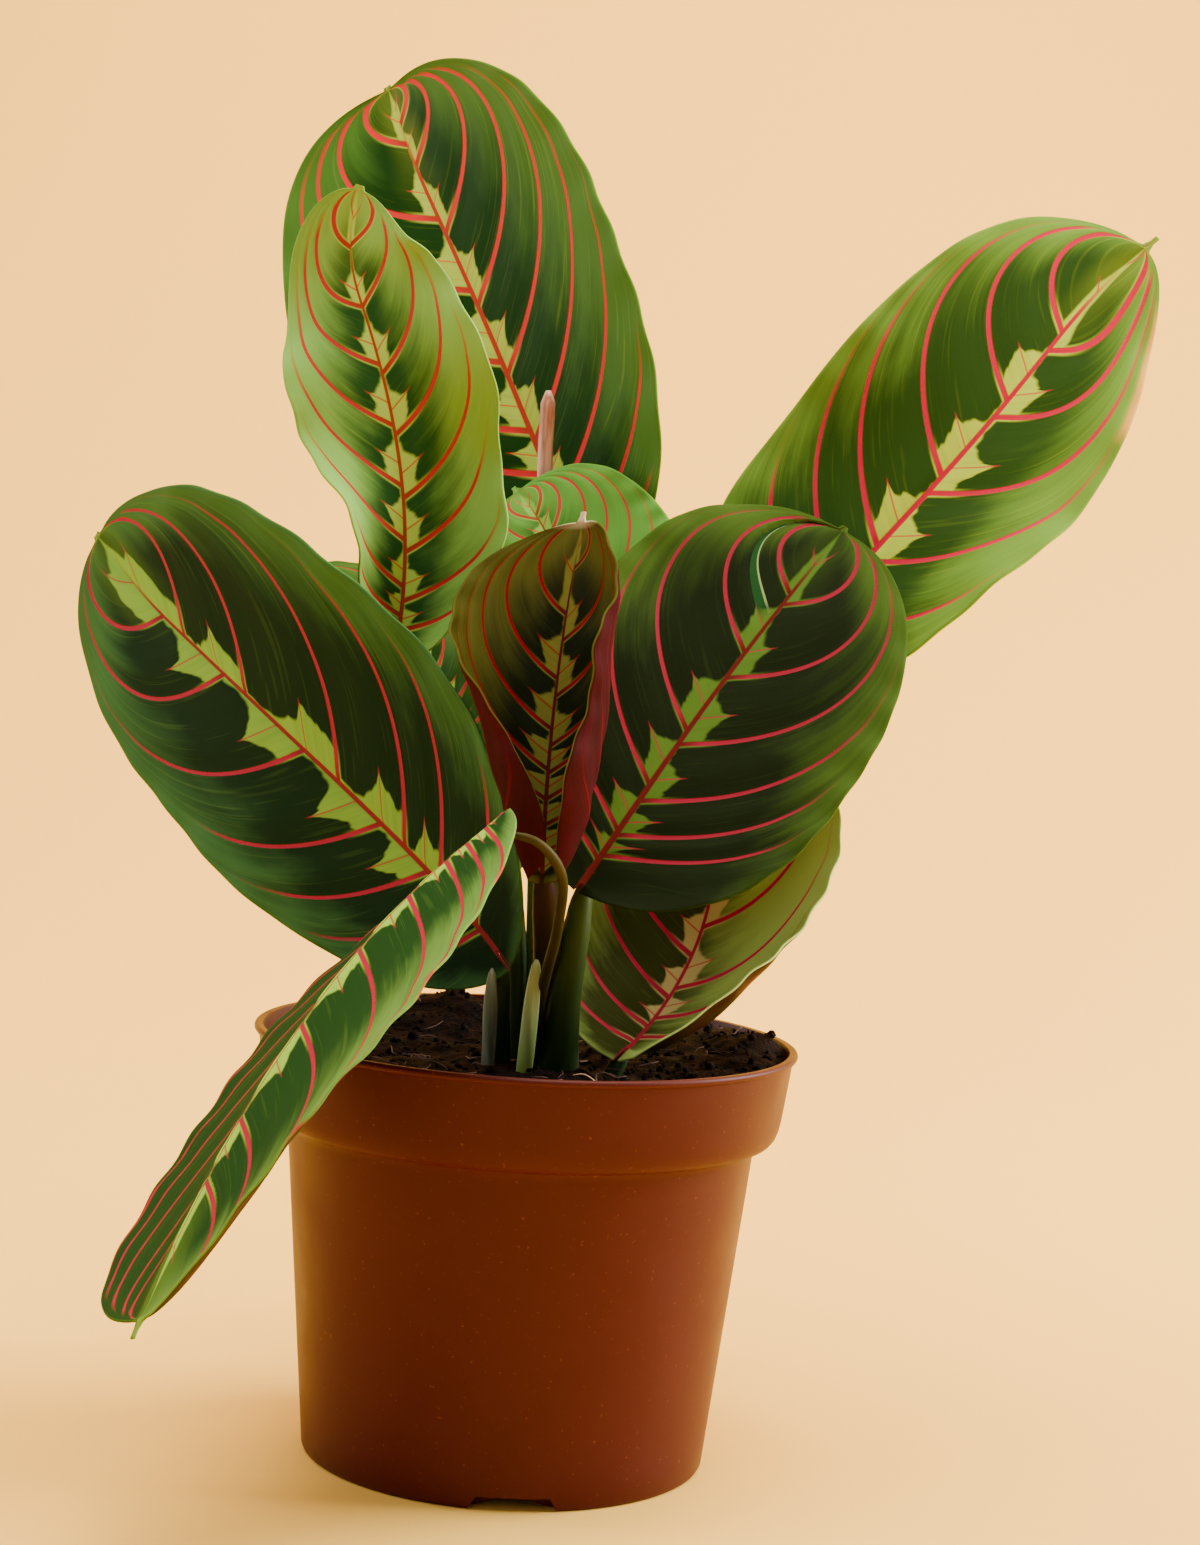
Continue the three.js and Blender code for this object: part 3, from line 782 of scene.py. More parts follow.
        curl = np.radians(pick("curl_base") * (1 - u) + pick("curl_tip") * u)
        room = half / (self.ROLL_RADIUS * np.maximum(np.abs(curl), 0.01))
        turn = curl * (1 - np.exp(-room))
        turn = np.where(np.abs(turn) < 1e-4, 1e-4, turn)
        crease = np.radians(pick("crease"))
        angle = crease + turn * reach
        form = self.outline(u, on_right)
        sideways = half * (np.sin(angle) - np.sin(crease)) / turn
        wave = pick("wave") * form * reach**2 * np.sin(TAU * (self.WAVES * u + pick("phase")))
        lift = half * (np.cos(crease) - np.cos(angle)) / turn + wave
        back = self.lobe * (1 - u) ** 6 * reach**2  # the base's rounded lobes

        # Relief: a channel over the midrib, swellings between veins, a finely rippled margin.
        swell = self.quilting * np.sin(math.pi * phase) ** 2 * np.clip(out / 6, 0, 1)
        swell *= np.clip(3 * (1 - reach), 0, 1) * np.clip(form * 1.5 - 0.3, 0, 1)
        channel = -self.CHANNEL * np.exp(-((out / 1.5) ** 2)) * np.clip(form * 2, 0, 1)
        ripple = np.sin(TAU * (9.3 * u + 0.7 * self.seed)) * np.clip(reach * 4 - 3, 0, 1)
        relief = swell + channel + self.RIPPLE * form * ripple
        relief -= sum(mark.sunk(v, phase) for mark in self.marks)

        normal = up * np.cos(angle)[:, None] - right * (sign * np.sin(angle))[:, None]
        points = self.midrib(u) + right * (sign * sideways)[:, None] + up * lift[:, None]
        points += normal * relief[:, None] - along * back[:, None]
        return points * MM

    def stalk_end(self, setback: float, under: float) -> Point:
        """Gives the point where its stalk ends, short of the base and under the blade."""
        along, _, up = (axis[0] for axis in self.axes(np.array([0.0])))
        return tuple(float(x) for x in np.array(self.base) - along * setback - up * under)

    def build(self) -> bpy.types.Object:
        """Bends a flat grid to the blade's shape and dresses it.

        Returns:
            The blade, which stands for its CAD node.
        """
        rows = round(self.rows * self.shape.value)
        columns = round(self.columns * self.shape.value / 2) * 2
        bm = bmesh.new()
        bmesh.ops.create_grid(bm, x_segments=columns, y_segments=rows, size=1)
        flat = np.array([vert.co for vert in bm.verts])
        even = (flat[:, 1] + 1) / 2
        u = 0.4 * even + 0.6 * (1 - np.cos(math.pi * even)) / 2
        u = np.where(u > self.TIP_START, self.TIP_START + self.drip * (u - self.TIP_START), u)
        v = flat[:, 0]
        out = np.abs(v) * self.half_width(u, v >= 0)
        sides = {half: self.vein_lines(u, np.abs(v), half) for half in (self.left, self.right)}
        phase = np.where(v >= 0, sides[self.right][0], sides[self.left][0])
        for vert, place in zip(bm.verts, self.surface(u, v, phase, out)):
            vert.co = place

        layers = bm.loops.layers
        blade, vein, mark = (layers.float_vector.new(name) for name in ("blade", "vein", "mark"))
        # Each half's amount of painted shade is written to its corners too.
        painted_shade = layers.float.new("painted_shade")
        spots = np.zeros((len(u), 3))
        for item in self.marks:
            row = spots[:, item.kind.value]
            np.maximum(row, item.cover(u, v, phase), out=row)
        bm.verts.index_update()
        for face in bm.faces:
            half = self.right if sum(v[vert.index] for vert in face.verts) > 0 else self.left
            phases, pitches = sides[half]
            pattern = self.seed * 3.1 + 7.3 * (half is self.right)
            for loop in face.loops:
                i = loop.vert.index
                loop[blade] = (u[i], abs(v[i]), out[i])
                loop[vein] = (phases[i], pitches[i], pattern)
                loop[mark] = spots[i]
                loop[painted_shade] = half.painted_shade

        upper, lower = self.finish.build()
        piece = finish_piece(bm, f"{self.name}_blade", self.slot, [upper, lower, upper], self.name)
        if piece.data.polygons[0].normal.dot(Vector(self.axes(np.array([0.0]))[2][0])) < 0:
            piece.data.flip_normals()
        add_modifier(piece, "thickness", "SOLIDIFY", thickness=self.thickness * MM, offset=0,
                     material_offset=1, material_offset_rim=2)
        return piece


# ---- Stalks and sheaths ----


@dataclass(frozen=True)
class StalkSkin:
    """Living stalk, or a thin sheath: smooth, finely ribbed along, its colour turning with height."""

    name: str
    foot: str
    top: str
    roughness: float = 0.5
    specular: float = 0.08
    depth: float = 0.05  # how much light goes through its surface
    stretch: float = 0.12  # scale of its pattern along the stalk, to that across it
    rib_mm: float = 0.8
    blotch_mm: float = 5.0
    blotches: float = 0.8  # how far the blotches shift the turn of colour
    turned_mm: float = 150.0  # height where the colour has turned
    relief: tuple[float, float] = (0.4, 0.15)  # strength, and depth in millimetres

    def build(self) -> bpy.types.Material:
        """Makes the material.

        Returns:
            The material, on Object coordinates.
        """
        skin = Skin(self.name)
        node = skin.add
        where = node("TexCoord").outputs["Object"]
        stretched = node("Mapping", where, Scale=(1, 1, self.stretch))
        ribs, blotch = (
            node("TexNoise", stretched, 1 / (size * MM), 2.0) for size in (self.rib_mm, self.blotch_mm))
        height = node("SeparateXYZ", where).outputs[2]
        share = node("MapRange", height, SOIL_TOP * MM, self.turned_mm * MM)
        share = node(TIMES_PLUS, blotch, self.blotches, share)
        share = node(MINUS, share, self.blotches / 2, use_clamp=True)
        strength, relief = self.relief
        return skin.finish({
            "Base Color": node(MIX, share, linear(self.foot), linear(self.top)),
            "Normal": node("Bump", strength, relief * MM, Height=ribs),
            "Roughness": self.roughness,
            "Specular IOR Level": self.specular,
            "Subsurface Weight": self.depth,
            "Subsurface Radius": (1.0, 0.6, 0.3),
            "Subsurface Scale": 1.0 * MM,
        })


@dataclass
class Stalks:
    """The leaf stalks, which rise from one clump in the soil to their blades."""

    routes: dict[str, tuple[float, list[Point]]]
    skins: tuple[StalkSkin, ...] = (
        StalkSkin("stalk skin green", "#1C3012", "#4A6028"),
        StalkSkin("stalk skin maroon", "#22300F", "#34120E"),
        StalkSkin("stalk skin olive", "#22240C", "#3E3812"),
    )
    kinds: dict[str, int] = field(default_factory=lambda: {"leaf_cupped": 1, "leaf_drooping": 2})
    foot_swell: float = 0.45  # how much wider the sheathing foot of a stalk is
    foot_height: float = 20.0
    taper: float = 0.12
    joint_swell: float = 0.1  # at nine tenths of the way, before the stalk thins to its blade

    def build(self) -> bpy.types.Object:
        """Sweeps every stalk.

        Returns:
            One piece with all stalks, which stands for the CAD node.
        """
        bm = bmesh.new()
        for name, (radius, route) in self.routes.items():
            path = smooth_path(route, 2.0)
            radii = []
            for k, point in enumerate(path):
                share = k / (len(path) - 1)
                joint = self.joint_swell * math.exp(-(((share - 0.9) / 0.05) ** 2))
                thin = 0.5 * max(0.0, share - 0.8) / 0.2
                foot = self.foot_swell * math.exp(-(((point.z - FOOT) / self.foot_height) ** 2))
                radii.append(radius * (1.0 - self.taper * share + joint - thin + foot))
            sweep(bm, path, radii, 18, self.kinds.get(name, 0))
        return finish_piece(bm, "leaf_stalks", "stalk", [skin.build() for skin in self.skins], "stalks")


@dataclass
class RolledLeaf:
    """The new leaf, still rolled: a slim tapering tube with a blunt end."""

    route: list[Point]
    start: float  # height where the rolled blade starts
    radius: float = 2.0

    def build(self) -> bpy.types.Object:
        """Sweeps the rolled blade, whose waxy skin has pale and red streaks along it.

        Returns:
            The piece, which stands for its CAD node.
        """
        path = [p for p in smooth_path(self.route, 1.5) if p.z > self.start + 0.2]
        count = len(path)
        radii = [self.radius * (1.0 - 0.12 * k / count) for k in range(count)]
        radii[-1] *= 0.35
        radii[-2] *= 0.7
        bm = bmesh.new()
        sweep(bm, path, radii, 20)
        skin = Skin("rolled young blade, waxy")
        stretched = skin.add("Mapping", skin.add("TexCoord").outputs["Object"], Scale=(1, 1, 0.1))
        streaks = skin.add("TexNoise", stretched, 1 / (1.2 * MM), 2.0)
        share = skin.add("MapRange", streaks, 0.4, 0.62)
        colour = skin.add(MIX, share, linear("#E0B098"), linear("#B87058"))
        material = skin.finish({"Base Color": colour, "Roughness": 0.45})
        return finish_piece(bm, "rolled_leaf", "new_leaf", [material], "new_leaf")


@dataclass
class Sheath:
    """A leaf sheath: a narrow blade, curved across, that clasps the stalks' foot."""

    node: str
    foot: Point
    top: Point
    turn: float
    skin: StalkSkin
    width: float = 3.4
    thickness: float = 0.35

    def build(self) -> bpy.types.Object:
        """Bends a flat grid round the sheath's axis and thickens it.

        Returns:
            The piece, which stands for its CAD node.
        """
        foot, top = Vector(self.foot), Vector(self.top)
        side = Vector((math.cos(math.radians(self.turn)), math.sin(math.radians(self.turn)), 0))
        face = (top - foot).normalized().cross(side).normalized()
        bm = bmesh.new()
        bmesh.ops.create_grid(bm, x_segments=12, y_segments=28, size=1)
        for vert in bm.verts:
            t = (vert.co.y + 1) / 2
            narrow = (1 - t**5) ** 0.5 * 0.8 + 0.2
            across = vert.co.x * self.width / 2 * narrow
            hollow = 0.3 * self.width * (1 - vert.co.x**2) * narrow - 0.15 * self.width
            wave = 0.25 * math.sin(9 * t + 2 * vert.co.x)
            vert.co = (foot.lerp(top, t) + side * across + face * (wave - hollow * 0.5)) * MM
        piece = finish_piece(bm, f"{self.node}_blade", self.node, [self.skin.build()], self.node)
        add_modifier(piece, "thickness", "SOLIDIFY", thickness=self.thickness * MM, offset=0)
        return piece


# ---- Pot ----


@dataclass(frozen=True)
class PotPlastic:
    """Polypropylene, injection moulded: even colour, satin skin and faint dust."""

    colour: str = "#481414"
    dusty: str = "#54221C"

    def build(self) -> bpy.types.Material:
        """Makes the material.

        Returns:
            The material, on Object coordinates.
        """
        skin = Skin("polypropylene, moulded, satin")
        node = skin.add
        where = node("TexCoord").outputs["Object"]
        # Clouds of dust 22 mm wide, specks of soil about 0.6 mm wide, and the mould's fine grain.
        cloud, specks, grain = (node("TexNoise", where, 1 / (size * MM), detail)
                                for size, detail in ((22, 4.0), (0.9, 2.0), (0.5, 2.0)))
        share = node("MapRange", cloud, 0.42, 0.75, 0.0, 0.3)
        plain = node(MIX, share, linear(self.colour), linear(self.dusty))
        dusted = node("MapRange", specks, 0.68, 0.75, 0.0, 0.35)
        return skin.finish({
            "Base Color": node(MIX, dusted, plain, linear("#8A5030")),
            "Roughness": node("MapRange", cloud, 0.3, 0.7, 0.36, 0.5),
            "Normal": node("Bump", 0.15, 0.1 * MM, Height=grain),
            "IOR": 1.49,
            "Specular IOR Level": 0.14,
        })


@dataclass
class NurseryPot:
    """The round plastic pot, turned from one profile, with drain holes and foot notches."""

    height: float = 93.5
    rim_radius: float = 60.0
    collar_top: float = 59.2
    collar_low: float = 56.6
    collar_depth: float = 20.6
    ledge_radius: float = 51.7
    base_radius: float = 44.5
    wall: float = 1.3
    floor: float = 2.0
    channel: float = 3.0
    steps: int = 144
    holes: int = 6
    hole_circle: float = 28.0
    hole_radius: float = 4.0
    hole_depth: float = 8.0
    notches: int = 3
    notch_turn: float = -86.0
    notch_depth: float = 9.0
    notch_widths: tuple[float, float] = (20.2, 15.5)  # below and at its top
    notch_heights: tuple[float, float] = (-1.0, 3.0)
    plastic: PotPlastic = PotPlastic()

    def profile(self) -> list[tuple[float, float]]:
        """Gives the section of the pot, from the middle of its foot round to its floor.

        Returns:
            Radii and heights, in millimetres.
        """
        top, floor_top = self.height, self.channel + self.floor
        ledge = top - self.collar_depth
        low = self.collar_low

        def wall_at(z: float) -> float:
            """Outer radius of the tapered wall."""
            return self.base_radius + (self.ledge_radius - self.base_radius) * z / ledge

        def collar_at(z: float) -> float:
            """Outer radius of the collar."""
            return low + (self.collar_top - low) * (z - ledge) / self.collar_depth

        bead = [(self.rim_radius - 0.75 + 0.75 * math.cos(a), top - 0.8 + 0.75 * math.sin(a))
                for a in np.radians([-80, -50, -20, 10, 40, 70, 100])]
        inner = wall_at(floor_top) - self.wall
        return [
            (0, 0), (15.6, 0), (16, 0.4), (17, self.channel),
            (39.5, self.channel), (40.5, 0.4), (40.9, 0), (43.6, 0), (44.2, 0.25), (44.6, 1.0),
            (wall_at(6), 6), (wall_at(ledge - 2), ledge - 2), (wall_at(ledge) + 0.1, ledge - 0.4),
            (wall_at(ledge) + 0.6, ledge), (low - 2.4, ledge + 0.25), (low - 1.2, ledge + 0.8),
            (low - 0.3, ledge + 1.9), (low + 0.3, ledge + 3.6), (collar_at(ledge + 6), ledge + 6),
            (collar_at(top - 1.7), top - 1.7), *bead,
            (collar_at(top) - self.wall + 0.25, top - 0.15), (collar_at(top) - self.wall, top - 0.6),
            (collar_at(ledge + 4.5) - self.wall, ledge + 4.2),
            (collar_at(ledge + 3) - self.wall - 0.8, ledge + 3),
            (wall_at(ledge) - self.wall + 0.6, ledge + 1.5), (wall_at(ledge) - self.wall, ledge + 0.8),
            (inner, floor_top + 1.2), (inner - 0.4, floor_top + 0.3), (inner - 1.3, floor_top),
            (0, floor_top),
        ]

    def build(self) -> bpy.types.Object:
        """Spins the profile, then cuts the drain holes and the notches of the foot.

        Returns:
            The pot, which stands for its CAD node.
        """
        bm = bmesh.new()
        verts = [bm.verts.new((r * MM, 0, z * MM)) for r, z in self.profile()]
        edges = [bm.edges.new(pair) for pair in zip(verts, verts[1:])]
        bmesh.ops.spin(bm, geom=[*verts, *edges], cent=(0, 0, 0), axis=(0, 0, 1), angle=TAU,
                       steps=self.steps, use_merge=True)
        bmesh.ops.remove_doubles(bm, verts=bm.verts, dist=1e-6)
        bmesh.ops.recalc_face_normals(bm, faces=bm.faces)
        pot = finish_piece(bm, "nursery_pot", "pot_plastic", [self.plastic.build()], "pot")
        tool = self._cutters()
        add_modifier(pot, "holes", "BOOLEAN", operation="DIFFERENCE", solver="EXACT", object=tool)
        bpy.context.view_layer.update()
        whole = pot.evaluated_get(bpy.context.evaluated_depsgraph_get())
        finished = bpy.data.meshes.new_from_object(whole)
        pot.modifiers.clear()
        pot.data = finished
        finished.set_sharp_from_angle(angle=math.radians(50))
        bpy.data.objects.remove(tool)
        return pot

    def _cutters(self) -> bpy.types.Object:
        """Makes what the drain holes and the foot's notches are cut with.

        Returns:
            One object, which is removed after the cut.
        """
        bm = bmesh.new()
        circle, radius, depth = self.hole_circle * MM, self.hole_radius * MM, self.hole_depth * MM
        for i in range(self.holes):
            angle = TAU * (i + 0.5) / self.holes
            place = Matrix.Translation((circle * math.cos(angle), circle * math.sin(angle), depth / 2))
            bmesh.ops.create_cone(bm, cap_ends=True, segments=28, radius1=radius, radius2=radius,
                                  depth=depth, matrix=place)
        for i in range(self.notches):
            turn = Matrix.Rotation(math.radians(self.notch_turn) + TAU * i / self.notches, 4, "Z")
            for vert in bmesh.ops.create_cube(bm, size=1)["verts"]:
                high = vert.co.z > 0
                spot = Vector((vert.co.x * self.notch_depth + self.base_radius,
                               vert.co.y * self.notch_widths[high], self.notch_heights[high]))
                vert.co = turn @ (spot * MM)
        return add_mesh(bm, "pot_cutters", smooth=False)


# ---- Soil ----


@dataclass(frozen=True)
class PeatFinish:
    """Sphagnum peat, crumbled and moist: near black with brown fibres."""

    dark: str = "#040201"
    light: str = "#200D06"
    roughness: float = 0.8

    def build(self) -> bpy.types.Material:
        """Makes the material.

        Returns:
            The material, on Object coordinates.
        """
        skin = Skin("peat, moist, crumbled")
        where = skin.add("TexCoord").outputs["Object"]
        lumps = skin.add("TexNoise", where, 1 / (3.5 * MM), 5.0)
        grains = skin.add("TexNoise", where, 1 / (0.9 * MM), 4.0)
        share = skin.add("MapRange", lumps, 0.42, 0.72)
        return skin.finish({
            "Base Color": skin.add(MIX, share, linear(self.dark), linear(self.light)),
            "Normal": skin.add("Bump", 0.9, 0.9 * MM, Height=grains),
            "Roughness": self.roughness,
            "Specular IOR Level": 0.05,
        })

    def litter(self) -> list[bpy.types.Material]:
        """Makes the materials of what lies in the peat.

        Returns:
            Weathered bark fibre and a dry root hair.
        """
        wood, root = Skin("bark fibre, weathered"), Skin("root hair, dry")
        tone = wood.add("TexNoise", wood.add("TexCoord").outputs["Object"], 1 / (6 * MM))
        colour = wood.add(MIX, tone, linear("#1A0A05"), linear("#5A2C16"))
        return [wood.finish({"Base Color": colour, "Roughness": 0.7}),
                root.finish({"Base Color": linear("#C8A488"), "Roughness": 0.6})]


@dataclass
class Soil:
    """The peat's surface: a lumpy disc, loose crumbs and fibres."""

    mound: Point = (-18.0, 36.0, 7.0)  # its middle and height
    spread: float = 20.0
    heap: Point = (52.0, 12.0, 6.5)  # against the rim, at the right
    heap_spread: tuple[float, float] = (18.0, 30.0)
    radius: float = 57.3
    crumbs: int = 1100
    fibres: int = 90
    seed: int = 11
    hair: tuple[Point, ...] = ((10, -46, 92.5), (12.2, -48.5, 93.2), (15, -51, 91.8), (16.8, -53, 89.2))
    peat: PeatFinish = PeatFinish()

    def height(self, x: float, y: float) -> float:
        """Finds the soil's surface at a point of the disc, in millimetres.

        Args:
            x: The place to the right.
            y: The place to the back.

        Returns:
            The height there.
        """
        mx, my, mound = self.mound
        hx, hy, heap = self.heap
        wide, deep = self.heap_spread
        mound *= math.exp(-((x - mx) ** 2 + (y - my) ** 2) / self.spread**2)
        heap *= math.exp(-(((x - hx) / wide) ** 2) - ((y - hy) / deep) ** 2)
        lumps = 1.6 * noise.noise(Vector((x, y, 3)) / 9) + 0.8 * noise.noise(Vector((x, y, 8)) / 3.2)
        return SOIL_TOP + mound + heap + 0.5 + lumps

    def build(self) -> None:
        """Makes the disc of soil and what lies on it."""
        material = self.peat.build()
        bm = bmesh.new()
        bmesh.ops.create_grid(bm, x_segments=110, y_segments=110, size=1)
        for vert in bm.verts:
            x, y = vert.co.x, vert.co.y
            r = max(abs(x), abs(y))
            flat = math.hypot(x, y) or 1.0
            x, y = x * r / flat * self.radius, y * r / flat * self.radius
            edge = max(0.0, math.hypot(x, y) - 0.93 * self.radius)
            vert.co = Vector((x, y, self.height(x, y) - 0.5 * edge)) * MM
        surface = finish_piece(bm, "soil_surface", "soil_peat", [material])
        add_modifier(surface, "crust", "SOLIDIFY", thickness=1.5 * MM, offset=-1)
        self._litter(material)

    def _spot(self, rng: random.Random, reach: float) -> tuple[float, float]:
        """Draws a place within a share of the soil's radius."""
        angle, r = rng.uniform(0, TAU), self.radius * math.sqrt(rng.random()) * reach
        return r * math.cos(angle), r * math.sin(angle)

    def _litter(self, material: bpy.types.Material) -> None:
        """Scatters crumbs and fibres over the surface, as one piece.

        Args:
            material: The peat.
        """
        rng = random.Random(self.seed)
        noise.seed_set(self.seed)
        bm = bmesh.new()
        for _ in range(self.crumbs):
            x, y = self._spot(rng, 0.985)
            size = rng.choice((0.3, 0.4, 0.5, 0.7, 1.1)) * rng.uniform(0.7, 1.3)
            place = Matrix.Translation(Vector((x, y, self.height(x, y) + 0.2 * size)) * MM)
            turn = Matrix.Rotation(rng.uniform(0, TAU), 4, Vector((rng.random(), rng.random(), rng.random())))
            form = Matrix.Diagonal((1, rng.uniform(0.6, 1), rng.uniform(0.5, 0.9), 1))
            bmesh.ops.create_icosphere(bm, subdivisions=1, radius=size * MM, matrix=place @ turn @ form)
        for vert in bm.verts:
            vert.co += noise.noise_vector(vert.co / (1.1 * MM)) * 0.35 * MM
        for _ in range(self.fibres):
            x, y = self._spot(rng, 0.9)
            way, long = rng.uniform(0, TAU), rng.uniform(3, 9)
            points = []
            for k in range(4):
                px = x + math.cos(way) * long * (k / 3 - 0.5)
                py = y + math.sin(way) * long * (k / 3 - 0.5)
                way += rng.uniform(-0.4, 0.4)
                points.append(Vector((px, py, self.height(px, py) + 0.7 + rng.uniform(0, 1.0))))
            thick = rng.uniform(0.08, 0.2)
            if all(math.hypot(p.x, p.y) < self.radius - 0.5 for p in points):
                sweep(bm, points, [0.6 * thick, thick, thick, 0.4 * thick], 5, 1)
        hair = smooth_path(self.hair, 1.0)
        sweep(bm, hair, [0.12] * len(hair), 6, 2)
        finish_piece(bm, "soil_litter", "soil_peat", [material, *self.peat.litter()])


# ---- Studio ----


@dataclass(frozen=True)
class Camera:
    """The viewpoint, in millimetres and radians; focal is in pixels of a 1200 x 1545 frame."""

    distance: float = 622.0
    height: float = 189.3
    yaw: float = 0.0199
    pitch: float = 0.0596
    roll: float = 0.064
    focal: float = 2830.6
    frame_height: float = 1545.0
    sensor: float = 36.0

    def build(self) -> None:
        """Makes the camera and sets it as the scene's own."""
        level = math.cos(self.pitch)
        forward = Vector((math.sin(self.yaw) * level, math.cos(self.yaw) * level, -math.sin(self.pitch)))
        side = Vector((math.cos(self.yaw), -math.sin(self.yaw), 0))
        above = side.cross(forward)
        right = math.cos(self.roll) * side + math.sin(self.roll) * above
        up = math.cos(self.roll) * above - math.sin(self.roll) * side
        data = bpy.data.cameras.new("camera")
        data.sensor_width = self.sensor
        data.lens = self.focal * self.sensor / self.frame_height
        data.clip_start, data.clip_end = 0.05, 20
        camera = add_object("camera", data)
        axes = Matrix((right, up, -forward)).transposed().to_4x4()
        camera.matrix_world = Matrix.Translation(Vector((0, -self.distance, self.height)) * MM) @ axes
        bpy.context.scene.camera = camera


@dataclass(frozen=True)
class Lamp:
    """A soft square lamp: its place and size in metres, its power in watts and its tint."""

    name: str
    place: Point
    size: float
    power: float
    tint: str
    aim: Point = (0, 0, 0.14)

    def build(self) -> None:
        """Makes the lamp and turns it to its aim."""
        data = bpy.data.lights.new(self.name, "AREA")
        data.shape, data.size, data.energy = "SQUARE", self.size, self.power
        data.color = linear(self.tint)[:3]
        lamp = add_object(self.name, data)
        lamp.location = self.place
        lamp.rotation_mode = "QUATERNION"
        lamp.rotation_quaternion = (Vector(self.aim) - Vector(self.place)).to_track_quat("-Z", "Y")


@dataclass
class Studio:
    """A pale floor that sweeps up behind, and soft light from large lamps; sizes in metres."""

    tone: str = "#F8C45A"
    light: str = "#FFF8EE"
    strength: float = 0.16
    front: float = -2.5
    bend: float = 0.55  # where the floor begins to rise
    radius: float = 0.8
    top: float = 2.6
    width: float = 6.0
    lamps: tuple[Lamp, ...] = (
        Lamp("right", (1.15, 0.22, 0.58), 0.8, 46.0, "#FFFAF0"),
        Lamp("left", (-1.2, 0.3, 0.6), 0.8, 12.0, "#FFF8EE"),
        Lamp("top", (-0.1, -0.2, 1.5), 0.9, 21.0, "#FFFAF0"),
        Lamp("front", (-0.5, -1.5, 0.9), 1.0, 5.5, "#FFF8EE"),
        Lamp("backdrop", (0.2, 0.45, 1.6), 1.2, 47.0, "#FFE9BA", (-0.1, 1.35, 0.12)),
    )

    def build(self) -> None:
        """Makes the floor, the world's light and the lamps."""
        bm = bmesh.new()
        arc = [(self.bend + self.radius * math.sin(a), self.radius * (1 - math.cos(a)))
               for a in (math.radians(6 * k) for k in range(16))]
        profile = [(self.front, 0.0), *arc, (self.bend + self.radius, self.top)]
        verts = [bm.verts.new((-self.width / 2, y, z)) for y, z in profile]
        edges = [bm.edges.new(pair) for pair in zip(verts, verts[1:])]
        made = bmesh.ops.extrude_edge_only(bm, edges=edges)["geom"]
        moved = [item for item in made if isinstance(item, bmesh.types.BMVert)]
        bmesh.ops.translate(bm, vec=(self.width, 0, 0), verts=moved)
        bmesh.ops.recalc_face_normals(bm, faces=bm.faces)
        floor = add_mesh(bm, "floor")
        floor.data.materials.append(Skin("paper, matte").finish(
            {"Base Color": linear(self.tone), "Roughness": 0.9, "Specular IOR Level": 0.1}))

        world = bpy.data.worlds.new("soft room")
        world.use_nodes = True
        glow = world.node_tree.nodes["Background"].inputs
        glow["Color"].default_value, glow["Strength"].default_value = linear(self.light), self.strength
        bpy.context.scene.world = world
        for lamp in self.lamps:
            lamp.build()


# ---- The plant ----

TOP_BACK = BladeFinish(
    "deep green", "#183A12", "#48742C", "#B4CE4C", "#D82C32", "#B03828",
    lobe_mm=6.6, dark_reach=0.54, vein_mm=0.98, rib_mm=1.0, tip_haze=0.2, tip_reach=0.5,
    sheen=0.05)
TOP_LEFT = BladeFinish(
    "light green", "#224820", "#7CAC4E", "#A8CA54", "#B4302E", "#983C28",
    lobe_mm=4.4, dark_reach=0.42, vein_mm=0.66, rib_mm=0.6, neck_mm=0.6, roughness=0.52, sheen=0.025)
RIGHT = BladeFinish(
    "vivid green", "#2A461A", "#689034", "#B4CC3C", "#C41640", "#BC1C38",
    lobe_mm=8.2, dark_reach=0.6, vein_mm=0.86, rib_mm=1.0, tip_reach=0.22, roughness=0.52,
    sheen=0.035)
BIG_LEFT = BladeFinish(
    "darkest green", "#172C1C", "#3C6A3C", "#78AC46", "#9A2844", "#7E2C34",
    lobe_mm=9.2, dark_reach=0.79, vein_mm=0.7, rib_mm=0.85, tip_haze=0.55, start=0.08,
    tip_reach=0.8, neck_mm=0.9, roughness=0.54, sheen=0.02)
# The centre leaf's base is drawn much darker, as painted shade where the leaves around it shadow it.
CENTRE = BladeFinish(
    "near black green", "#151D0E", "#3E5820", "#4A6A26", "#8C1C34", "#581A18",
    lobe_mm=6.2, dark_reach=0.74, vein_mm=0.68, rib_mm=0.85, start=0.06,
    neck_mm=0.4, painted_base_shade=0.5, roughness=0.54, sheen=0.02)
# The cupped leaf's under face: its own crimson, drawn darker as painted shade from the leaf over it.
CUPPED = BladeFinish(
    "young olive", "#14180C", "#4C4C1C", "#66662A", "#7A0E12", "#481410",
    under="#3E1218", lobe_mm=5.6, dark_reach=0.47, vein_mm=0.5, rib_mm=0.6, roughness=0.54, sheen=0.03)
ARCHED = BladeFinish(
    "fresh green", "#285222", "#609A3C", "#94C450", "#C83838", "#985028",
    lobe_mm=6, dark_reach=0.2, vein_mm=0.5, rib_mm=0.5, sheen=0.04)
DROOPING = BladeFinish(
    "mid green", "#203E1A", "#60863E", "#90BC40", "#A41A38", "#903038",
    under="#40381C", lobe_mm=4.8, dark_reach=0.56, vein_mm=0.66, rib_mm=0.5,
    vein_end=1.2, roughness=0.6, sheen=0.01)
